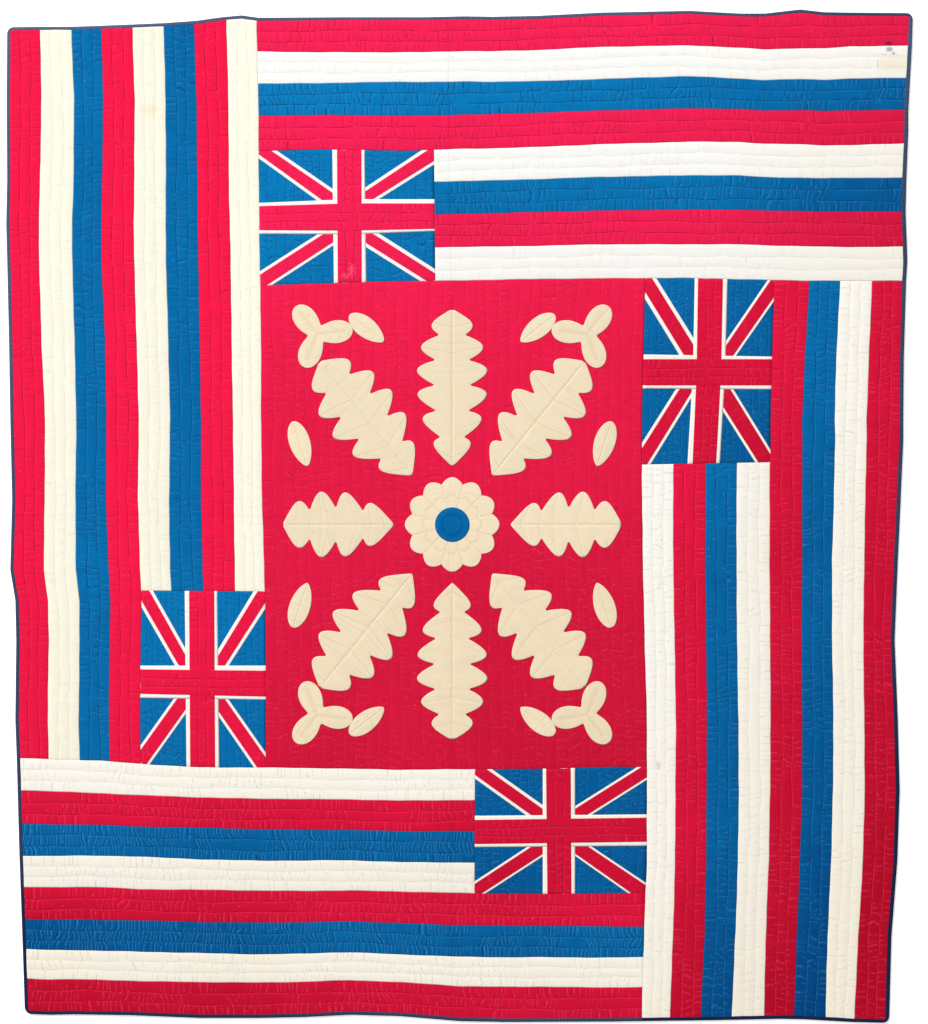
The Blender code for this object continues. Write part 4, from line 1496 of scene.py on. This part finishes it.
@dataclass
class Medallion:
    """Leaves, buds and trefoils of cream cloth round a rosette with a blue middle, stitched on the panel.

    Leaf powers shape a leaf's rise from the root and its fall to the tip. Furrows' and veins' widths are
    shares of a lobe or of the piece's reach, and rings are (place, width) from the middle of a round piece.
    """

    middle: tuple[float, float] = (-17.0 * MM, -20.0 * MM)
    edge_depth: float = 1.0 * MM
    leaf_powers: tuple[float, float] = (0.6, 0.55)
    lobe_depth: float = 0.56
    lobe_slant: float = 0.16
    point_lean: float = 0.3
    vein_width: float = 0.07
    rib_depth: float = 0.4 * MM
    full_width: float = 12.0 * MM
    furrow_depth: float = 0.35 * MM
    trefoil_furrow: float = 0.09
    petal_furrow: float = 0.10
    petal_ring: tuple[float, float] = (0.62, 0.025)
    disc_ring: tuple[float, float] = (0.6, 0.06)

    def cuttings(self) -> list[tuple[Cutting, list[tuple[int, int]]]]:
        """Every kind of piece with the mirror images that it is repeated in.

        Returns:
            Each kind with its mirror images, as signs of x and y.
        """
        leaves = (
            ("leaf_side", 128, 0, 0, 244, 74, 4),
            ("leaf_corner", 88, 108, 51, 322, 82, 5),
            ("leaf_long", 0, 128, 90, 345, 78, 6),
            ("bud_side", 318, 128, 72, 104, 23, 0),
            ("bud_end", 150, 402, 38, 96, 22, 0),
        )
        found = []
        for name, x, y, heading, length, half_width, lobes in leaves:
            place, turn = (x * MM, y * MM), math.radians(heading)
            cutting = Cutting(name, place, turn, length * MM, half_width * MM, lobes)
            mirrors = [(i, j) for i in ((1, -1) if x else (1,)) for j in ((1, -1) if y else (1,))]
            found.append((cutting, mirrors))
        place = (296 * MM, 418 * MM)
        trefoil = Cutting("trefoil", place, math.radians(52.0), 78.0 * MM, petals=3, notch=0.36)
        found.append((trefoil, [(1, 1), (1, -1), (-1, 1), (-1, -1)]))
        return found

    def leaf(self, cutting: Cutting) -> ClothGrid:
        """A leaf on +X from its root: a grid of places across and shares along.

        The half width rises quickly and falls to a point. Lobes cut it in, and each point leans towards the
        tip with its distance from the midrib. The cloth is full between the midrib and the edge, with a
        furrow along the midrib and one up the middle of each lobe.

        Args:
            cutting: the shape and sizes of the piece.
        Returns:
            The leaf's surface.
        """
        share = np.linspace(0.003, 0.995, max(40, 15 * cutting.lobes))
        half = [0.018, 0.12, 0.3, 0.52, 0.75, 0.95, 1.0]
        across = np.array([-step for step in half[::-1]] + [0.0] + half)[:, None]
        even = np.linspace(0.0, 1.0, 400)
        up, down = self.leaf_powers
        rise = share**up * (1.0 - share) ** down / (even**up * (1.0 - even) ** down).max()
        width = cutting.half_width * rise
        lean = 0.0
        strip = 0.5
        if cutting.lobes:
            lobed = np.abs(np.sin(math.pi * cutting.lobes * share)) ** 0.8
            width = width * (1.0 - self.lobe_depth + self.lobe_depth * lobed)
            strip = cutting.lobes * share + self.lobe_slant * (1.0 - np.abs(across)) + 0.5
            vein = np.abs(strip - np.round(strip))
            lean = np.exp(-((vein / self.vein_width) ** 2)) * (np.abs(across) < 0.9)
        x = share * cutting.length + self.point_lean * np.abs(across) * width * (1.0 - share)
        y = across * width
        rib = 1.0 * (across == 0.0)
        bow = cutting.puff * (1.0 - np.abs(across) ** 4) * np.minimum(1.0, width / self.full_width)
        z = cutting.seat + bow - self.rib_depth * np.maximum(rib, 0.5 * lean)
        # Painted shade along the midrib and round the edge.
        crease = 0.6 * rib + 0.3 * (np.abs(across) > 0.99) + 0.0 * share
        return ClothGrid(np.stack([x, y, z], axis=2), np.clip(crease, 0.0, 1.0), strip=strip)

    def rounded(self, cutting: Cutting, count: int = 64) -> ClothGrid:
        """A rosette, trefoil or disc round its own middle.

        A square grid is spread over a disc, each side bowing out by the other's distance. The reach changes
        with the turn: a scallop to each petal, or a cosine for three lobes. Furrows part the petals.

        Args:
            cutting: the shape and sizes of the piece.
            count: how many points there are on each side of the square.
        Returns:
            The piece's surface.
        """
        side = np.linspace(-1.0, 1.0, count)
        u, v = np.meshgrid(side, side, indexing="ij")
        x, y = u * np.sqrt(1.0 - v**2 / 2.0), v * np.sqrt(1.0 - u**2 / 2.0)
        away, turn = np.hypot(x, y), np.arctan2(y, x)
        furrow = np.zeros(away.shape)
        reach = np.ones(away.shape)
        if cutting.petals == 3:
            reach = 1.0 - cutting.notch + cutting.notch * np.cos(3.0 * turn)
            furrow = np.exp(-((np.sin(1.5 * turn) * away / self.trefoil_furrow) ** 2)) * (away < 0.8)
        elif cutting.petals:
            scallop = np.abs(np.cos(turn * cutting.petals / 2.0))
            reach = 1.0 - cutting.notch + cutting.notch * scallop
            ring = np.exp(-(((away - self.petal_ring[0]) / self.petal_ring[1]) ** 2))
            furrow = np.maximum(np.exp(-((scallop * away / self.petal_furrow) ** 2)), ring)
        elif cutting.notch:
            furrow = np.exp(-(((away - self.disc_ring[0]) / self.disc_ring[1]) ** 2))
        x, y = x * reach * cutting.length, y * reach * cutting.length
        z = cutting.seat + cutting.puff * (1.0 - away**6) - self.furrow_depth * furrow
        # Painted shade in the furrows and round the rim.
        crease = 0.5 * furrow + 0.35 * (away > 0.995)
        return ClothGrid(np.stack([x, y, z], axis=2), np.clip(crease, 0.0, 1.0))

    def laid(self, grid: ClothGrid, cutting: Cutting, mirror: tuple[int, int]) -> ClothGrid:
        """Turns a piece to its heading, puts it in place and mirrors it about the panel's middle.

        Args:
            grid: the piece's surface.
            cutting: the shape and sizes of the piece.
            mirror: the signs of x and y.
        Returns:
            The surface in its place, with turned edges.
        """
        cos, sin = math.cos(cutting.heading), math.sin(cutting.heading)
        x, y, z = np.moveaxis(grid.points, 2, 0)
        turned_x = (x * cos - y * sin + cutting.place[0]) * mirror[0] + self.middle[0]
        turned_y = (x * sin + y * cos + cutting.place[1]) * mirror[1] + self.middle[1]
        change, fold = settled(turned_x, turned_y)
        points = np.stack([turned_x, turned_y, z + change], axis=2)
        # Painted shade in the folds.
        crease = np.clip(grid.crease + 0.6 * fold, 0.0, 1.0)
        return ClothGrid(points, crease, strip=grid.strip).turned_down(self.edge_depth)

    def add(self, bench: Workbench, name: str, grid: ClothGrid, cotton: Cotton) -> bpy.types.Object:
        """Args:
            bench: where pieces are made.
            name: the piece's name, and its node's.
            grid: the surface in its place.
            cotton: the finish.
        Returns:
            The piece.
        """
        piece = bench.piece(name, [grid], cotton, WearAndShade(0.4, fine=0.5, row=0.8, pitch=57.0 * MM))
        steps = np.diff(grid.points[..., :2], axis=0)[:, :-1], np.diff(grid.points[..., :2], axis=1)[:-1]
        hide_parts(name)
        return piece

    def make(self, bench: Workbench) -> list[bpy.types.Object]:
        """Sews every piece of the medallion.

        Args:
            bench: where pieces are made.
        Returns:
            The pieces, in the order they are sewn.
        """
        made = []
        for cutting, mirrors in self.cuttings():
            grid = self.rounded(cutting) if cutting.petals else self.leaf(cutting)
            for number, mirror in enumerate(mirrors, start=1):
                name = f"{cutting.name}_{number}"
                made.append(self.add(bench, name, self.laid(grid, cutting, mirror), CREAM))
        rosette = Cutting("rosette", (0.0, 0.0), 0.0, 104.0 * MM, petals=12, notch=0.13)
        disc = Cutting("rosette_disc", (0.0, 0.0), 0.0, 38.0 * MM, notch=0.01, seat=6.9 * MM, puff=0.6 * MM)
        for cutting, cotton in ((rosette, CREAM), (disc, BLUE)):
            grid = self.laid(self.rounded(cutting, 96 if cutting.petals else 32), cutting, (1, 1))
            made.append(self.add(bench, cutting.name, grid, cotton))
        return made


# The edge, the padding and the back


@dataclass
class Binding:
    """The folded strip round the quilt: one piece a side, mitred at the corners.

    Its points are closer together at the corner steps, in millimetres from each corner. Between the corners
    its width is drawn in and its upper face puffed by slow sines, whose lengths are in metres.
    """

    pitch: float = 6.0 * MM
    depths: tuple[tuple[str, float], ...] = (("bottom", 0.45), ("right", 0.35), ("top", 0.65), ("left", 0.7))
    corner_steps: tuple[float, ...] = (1.5, 3.0, 4.5, 7.5, 9.0, 10.5, 13.5, 15.0)
    corner_reach: float = 0.02
    drawn: float = 0.05
    drawn_lengths: tuple[float, float] = (0.011, 0.043)
    puff: float = 0.12 * MM
    puff_length: float = 0.009
    puff_above: float = 4.0 * MM

    @staticmethod
    def section() -> np.ndarray:
        """The fold's section as (share of the width inward, height in metres), clockwise from below.

        Returns:
            The section's points.
        """
        return np.array(
            [
                (0.98, 1.3), (1.01, 0.6), (0.9, 0.15), (0.45, 0.0), (0.15, 0.15), (0.04, 0.8), (0.0, 2.0),
                (0.02, 3.2), (0.09, 4.2), (0.22, 4.75), (0.5, 5.0), (0.82, 4.9), (0.96, 4.6), (1.01, 4.1),
                (1.0, 3.5),
            ]
        ) * (1.0, MM)

    def make(self, bench: Workbench) -> list[bpy.types.Object]:
        """Sews the four strips, each with both its corners shared with its neighbours.

        Args:
            bench: where pieces are made.
        Returns:
            The pieces, in the order they are sewn.
        """
        corners = {
            "low": (float(LEFT_EDGE.at(-1.1)), float(BOTTOM_EDGE.at(-0.96))),
            "right": (float(RIGHT_EDGE.at(-1.11)), float(BOTTOM_EDGE.at(0.945))),
            "high": (float(RIGHT_EDGE.at(1.104)), float(TOP_EDGE.at(0.992))),
            "left": (float(LEFT_EDGE.at(1.07)), float(TOP_EDGE.at(-0.993))),
        }
        sides = (
            ("bottom", Run.ACROSS, BOTTOM_EDGE, corners["low"][0], corners["right"][0], 1.0),
            ("right", Run.UP, RIGHT_EDGE, corners["right"][1], corners["high"][1], -1.0),
            ("top", Run.ACROSS, TOP_EDGE, corners["left"][0], corners["high"][0], -1.0),
            ("left", Run.UP, LEFT_EDGE, corners["low"][1], corners["left"][1], 1.0),
        )
        return [self.strip(bench, *side) for side in sides]

    def strip(
        self, bench: Workbench, name: str, run: Run, border: Border, start: float, end: float, inward: float
    ) -> bpy.types.Object:
        """One side's strip: the section carried along the outline, drawn in a little at each stitch.

        Args:
            bench: where pieces are made.
            name: the side's name.
            run: the way the side runs.
            border: the outline along it.
            start, end: the places of its two corners along it.
            inward: the sign of the step from the outline to the quilt's middle.
        Returns:
            The strip.
        """
        near = np.array(self.corner_steps) * MM
        place = np.linspace(start, end, round((end - start) / self.pitch) + 1)
        place = np.unique(np.concatenate([place, start + near, end - near]))
        width = BINDING_WIDTHS[name]
        first, last = (("left", "right") if run is Run.ACROSS else ("bottom", "top"))
        share, height = self.section().T
        turn, other = bench.random.uniform(0.0, 6.0, 2)
        inside = np.clip(np.minimum(place - start, end - place) / self.corner_reach, 0.0, 1.0)
        short, long = (place / length for length in self.drawn_lengths)
        drawn = 1.0 + self.drawn * inside * np.sin(short + turn) * np.sin(long + other)
        off = width * share[None, :] * drawn[:, None]
        low, high = (share[None, :] * BINDING_WIDTHS[side] for side in (first, last))
        along = np.clip(place[:, None], start + low, end - high)
        across = border.at(along) + inward * off
        upper = (height > self.puff_above) * (share < 0.95)
        puff = self.puff * np.sin(place / self.puff_length + other)[:, None] * upper
        z = np.maximum(height + puff, 0.0)
        x, y = (across, along) if run is Run.UP else (along, across)
        # Painted shade along the strip's inner edge, and a fainter darkening at every other station.
        crease = 0.5 * np.isclose(share, 1.0)[None, :] + 0.25 * (np.arange(len(place)) % 2)[:, None]
        grid = ClothGrid(np.stack([x, y, z], axis=2), crease, folded=True)
        piece = bench.piece(f"binding_{name}_cloth", [grid], DARK, WearAndShade(dict(self.depths)[name]))
        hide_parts(f"binding_{name}")
        return piece


@dataclass
class Padding:
    """The batting between top and back: one thin filled slab inside the outline.

    Heights are its upper and lower faces', and uneven is how far they stray.
    """

    inset: float = 2.4 * MM
    pitch: float = 28.0 * MM
    size: tuple[float, float] = (1.99, 2.22)
    heights: tuple[float, float] = (3.55 * MM, 1.05 * MM)
    uneven: float = 0.1 * MM

    def layer(self, height: float) -> np.ndarray:
        """One face of the slab as a grid of points, from side to side and from bottom to top.

        Args:
            height: the face's height above the floor.
        Returns:
            The face's points.
        """
        u, v = (np.linspace(0.0, 1.0, round(side / self.pitch)) for side in self.size)
        u, v = u[:, None], v[None, :]
        x, y = u - 0.5 + 0.0 * v, v - 0.5 + 0.0 * u
        for _ in range(5):
            left, right = LEFT_EDGE.at(y) + self.inset, RIGHT_EDGE.at(y) - self.inset
            x = left + (right - left) * u
            low, high = BOTTOM_EDGE.at(x) + self.inset, TOP_EDGE.at(x) - self.inset
            y = low + (high - low) * v
        uneven = self.uneven * np.sin(31.0 * x) * np.sin(27.0 * y)
        return np.stack([x, y, height + uneven], axis=2)

    def make(self, bench: Workbench) -> bpy.types.Object:
        """Makes the slab: both faces, joined round the edge.

        Args:
            bench: where pieces are made.
        Returns:
            The slab.
        """
        top, low = (self.layer(height) for height in self.heights)
        rims = [(layer[:, 0], layer[-1, 1:], layer[-2::-1, -1], layer[0, -2::-1]) for layer in (top, low)]
        wall = np.stack([np.concatenate(rim) for rim in rims])
        grids = [ClothGrid(points, np.zeros(points.shape[:2])) for points in (top, low, wall)]
        piece = bench.piece("padding", grids, PADDING)
        self.close(piece)
        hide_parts("quilt")
        return piece

    @staticmethod
    def close(piece: bpy.types.Object) -> None:
        """Joins the slab's faces at its rim and turns them outward.

        Args:
            piece: the slab.
        """
        mesh = bmesh.new()
        mesh.from_mesh(piece.data)
        bmesh.ops.remove_doubles(mesh, verts=mesh.verts, dist=1e-6)
        bmesh.ops.recalc_face_normals(mesh, faces=mesh.faces)
        mesh.to_mesh(piece.data)
        mesh.free()


@dataclass
class Lining:
    """The plain back. It lies on the floor, and each stitched row draws it up a little.

    Panel strips are how many the panel has each way, and last is the number of a flag's inmost line.
    """

    inset: float = 2.4 * MM
    draw: float = 0.7 * MM
    panel_strips: tuple[int, int] = (34, 44)
    last: int = 48

    def lines(self, low_flag: Flag, high_flag: Flag, panel_strips: int) -> list[tuple[Line, bool]]:
        """The grid's lines from the low to the high side, and whether each is a stitched row or seam.

        Args:
            low_flag: the flag on the low side.
            high_flag: the flag on the high side.
            panel_strips: how many strips the panel has between them.
        Returns:
            The lines, each with its mark.
        """
        steps = np.arange(0, self.last + 1) / 6.0
        found = [(low_flag.seam(step), k % 2 == 0) for k, step in enumerate(steps)]
        inner, outer = low_flag.seam(8), high_flag.seam(8)
        for k in range(1, 2 * panel_strips):
            share = k / (2 * panel_strips)
            found.append((lambda at, s=share: inner(at) + (outer(at) - inner(at)) * s, k % 2 == 0))
        found += [(high_flag.seam(step), k % 2 == 0) for k, step in reversed(list(enumerate(steps)))]
        return found

    def make(self, bench: Workbench) -> bpy.types.Object:
        """Makes the back: flat on the floor, with furrows that follow the stitching of the top.

        Args:
            bench: where pieces are made.
        Returns:
            The back.
        """
        across, along = self.panel_strips
        columns, rows = self.lines(LEFT, RIGHT, across), self.lines(BOTTOM, TOP, along)
        x = np.zeros((len(columns), len(rows)))
        y = np.zeros(x.shape)
        for _ in range(5):
            x = np.stack([line(y[i]) for i, (line, _) in enumerate(columns)])
            y = np.stack([line(x[:, j]) for j, (line, _) in enumerate(rows)], axis=1)
            x = np.clip(x, LEFT_EDGE.at(y) + self.inset, RIGHT_EDGE.at(y) - self.inset)
            y = np.clip(y, BOTTOM_EDGE.at(x) + self.inset, TOP_EDGE.at(x) - self.inset)
        i, j = np.meshgrid(np.arange(len(columns)), np.arange(len(rows)), indexing="ij")
        right, high = (len(lines) - self.last - 1 for lines in (columns, rows))
        by_column = ((i <= self.last) & (j > self.last)) | ((i >= right) & (j < high))
        middle = (i > self.last) & (i < right) & (j > self.last) & (j < high)
        sewn_x, sewn_y = (np.array([sewn for _, sewn in lines]) for lines in (columns, rows))
        sewn = np.where(by_column | middle, sewn_x[:, None], sewn_y[None, :])
        uneven = 0.75 + 0.25 * np.sin(40.0 * x + 9.0 * y) * np.sin(33.0 * y)
        z = self.draw * sewn * uneven
        # Painted shade in the back's stitched furrows.
        grid = ClothGrid(np.stack([x, y, z], axis=2), 0.6 * sewn * uneven)
        piece = bench.piece("lining", [grid], LINING)
        piece.data.flip_normals()
        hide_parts("quilt")
        return piece


# The whole quilt and its studio


@dataclass
class Quilt:
    """The quilt: padding, back, stripes, cantons, centre panel, medallion and binding."""

    bench: Workbench
    stripe: Quilting = Quilting(fine=0.75)
    calm: Quilting = Quilting(pucker=0.35 * MM, fine=0.6)
    rough: Quilting = Quilting(fine=0.95)
    blue: Quilting = Quilting(pucker=0.55 * MM, gaps=(6.0 * MM, 20.0 * MM), fine=0.95)
    busy: Quilting = Quilting(pucker=0.8 * MM, pucker_tone=0.4, gaps=(5.0 * MM, 13.0 * MM), fine=1.5)
    panel: Quilting = Quilting(
        strips=34, row=4.85 * MM, puff=0.35 * MM, pucker=0.35 * MM, gaps=(10.0 * MM, 34.0 * MM), row_tone=0.4,
        pucker_tone=0.2, fine=0.6, wander=0.1,
    )

    def flags(self) -> list[bpy.types.Object]:
        """Sews the four flags' stripes round the panel.

        Returns:
            The pieces, in the order they are sewn.
        """
        fresh, rosy, aged = (RED, WHITE, BLUE), (ROSE, WHITE, BLUE), (RED, AGED_WHITE, AGED_BLUE)
        stripes = (
            Stripes(LEFT, BOTTOM.seam(8), TOP.hem(), self.calm, self.stripe, aged, (0.15, 0.24, 0.45), 0.3),
            Stripes(TOP, LEFT.seam(8), RIGHT.hem(), self.stripe, self.blue, rosy, (0.33, 0.23, 0.41), 0.3),
            Stripes(
                RIGHT, TOP.seam(8), BOTTOM.hem(), self.stripe, self.stripe, fresh, (0.22, 0.22, 0.16), 0.6
            ),
            Stripes(
                BOTTOM, RIGHT.seam(8), LEFT.hem(), self.rough, self.busy, fresh, (0.40, 0.50, 0.36), 0.75
            ),
        )
        return [piece for flag in stripes for piece in flag.make(self.bench)]

    def centre(self) -> list[bpy.types.Object]:
        """Sews in the plain centre panel.

        Returns:
            The panel, in a list.
        """
        sides = (LEFT.seam(8), RIGHT.seam(8), BOTTOM.seam(8), TOP.seam(8))
        cells = (0.0, 0.14, 0.38, 0.62, 0.86)
        panel = Patch("panel", Run.UP, *sides, self.panel, PLAIN, 0.44, 3.3 * MM, cells)
        return [panel.make(self.bench, 1.0)]

    def make(self) -> None:
        """Builds each sub-assembly in order and reports each of its pieces."""
        steps: tuple[tuple[str, Callable[[], list[bpy.types.Object]]], ...] = (
            ("padding", lambda: [Padding().make(self.bench)]),
            ("lining", lambda: [Lining().make(self.bench)]),
            ("flags", self.flags),
            ("centre panel", self.centre),
            ("cantons", lambda: [piece for canton in CANTONS for piece in canton.make(self.bench)]),
            ("medallion", lambda: Medallion().make(self.bench)),
            ("binding", lambda: Binding().make(self.bench)),
        )
        for label, build in steps:
            for piece in build():
                if piece.name.startswith(("stripe_", "panel", "canton_")):
                    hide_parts("quilt")
                LOG.info("%s: %s, %d faces", label, piece.name, len(piece.data.polygons))


@dataclass
class Studio:
    """A plain pale floor, soft light from the upper left and a camera straight above."""

    distance: float = 5.6
    aim: tuple[float, float] = (0.0088, 0.0077)
    frame_height: float = 2.2528
    sensor: float = 36.0
    floor_side: float = 6.0
    floor_drop: float = 0.6 * MM
    floor_glow: float = 0.45
    sky: float = 0.25

    def floor(self) -> None:
        """A plain pale floor, just under the quilt."""
        mesh = bpy.data.meshes.new("floor")
        side = self.floor_side
        corners = [(x * side, y * side, -self.floor_drop) for x, y in ((-1, -1), (1, -1), (1, 1), (-1, 1))]
        mesh.from_pydata(corners, [], [(0, 1, 2, 3)])
        obj = bpy.data.objects.new("floor", mesh)
        bpy.context.scene.collection.objects.link(obj)
        sheet = ShaderSheet("floor_paper")
        where = sheet.node("ShaderNodeTexCoord").outputs["Object"]
        colour = sheet.mix(sheet.noise(where, 3.0), (0.96, 0.96, 0.955, 1.0), (0.98, 0.98, 0.98, 1.0))
        sheet.tree.links.new(colour, sheet.shader.inputs["Base Color"])
        sheet.shader.inputs["Roughness"].default_value = 0.9
        sheet.shader.inputs["Emission Color"].default_value = (1.0, 1.0, 1.0, 1.0)
        sheet.shader.inputs["Emission Strength"].default_value = self.floor_glow
        mesh.materials.append(sheet.material)

    def lamp(self, name: str, place: tuple[float, float, float], size: float, power: float) -> None:
        """A large soft lamp that faces the quilt's middle.

        Args:
            name: the lamp's name.
            place: where it stands, in metres.
            size: the side of its square face.
            power: its power in watts.
        """
        light = bpy.data.lights.new(name, "AREA")
        light.size = size
        light.energy = power
        obj = bpy.data.objects.new(name, light)
        obj.location = place
        x, y, z = place
        obj.rotation_euler = (math.acos(z / math.sqrt(x * x + y * y + z * z)), 0.0, math.atan2(x, -y))
        bpy.context.scene.collection.objects.link(obj)

    def camera(self) -> None:
        """The camera straight above, as far off as a photographer's for a piece this size."""
        data = bpy.data.cameras.new("camera")
        data.sensor_width = self.sensor
        data.lens = self.sensor * self.distance / self.frame_height
        obj = bpy.data.objects.new("camera", data)
        obj.location = (*self.aim, self.distance)
        bpy.context.scene.collection.objects.link(obj)
        bpy.context.scene.camera = obj

    def make(self) -> None:
        """Sets up the studio."""
        self.floor()
        self.lamp("key", (-13.0, 15.6, 14.3), 6.0, 8000.0)
        self.lamp("fill", (7.0, -6.0, 8.5), 5.0, 220.0)
        world = bpy.data.worlds.new("studio")
        world.use_nodes = True
        background = world.node_tree.nodes["Background"]
        background.inputs["Color"].default_value = (1.0, 1.0, 1.0, 1.0)
        background.inputs["Strength"].default_value = self.sky
        bpy.context.scene.world = world
        bpy.context.scene.view_settings.view_transform = "Standard"
        self.camera()


def main() -> None:
    """Loads the frame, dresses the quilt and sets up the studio."""
    logging.basicConfig(level=logging.INFO, format="%(name)s: %(message)s")
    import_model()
    Quilt(Workbench()).make()
    Studio().make()


if __name__ == "__main__":
    main()
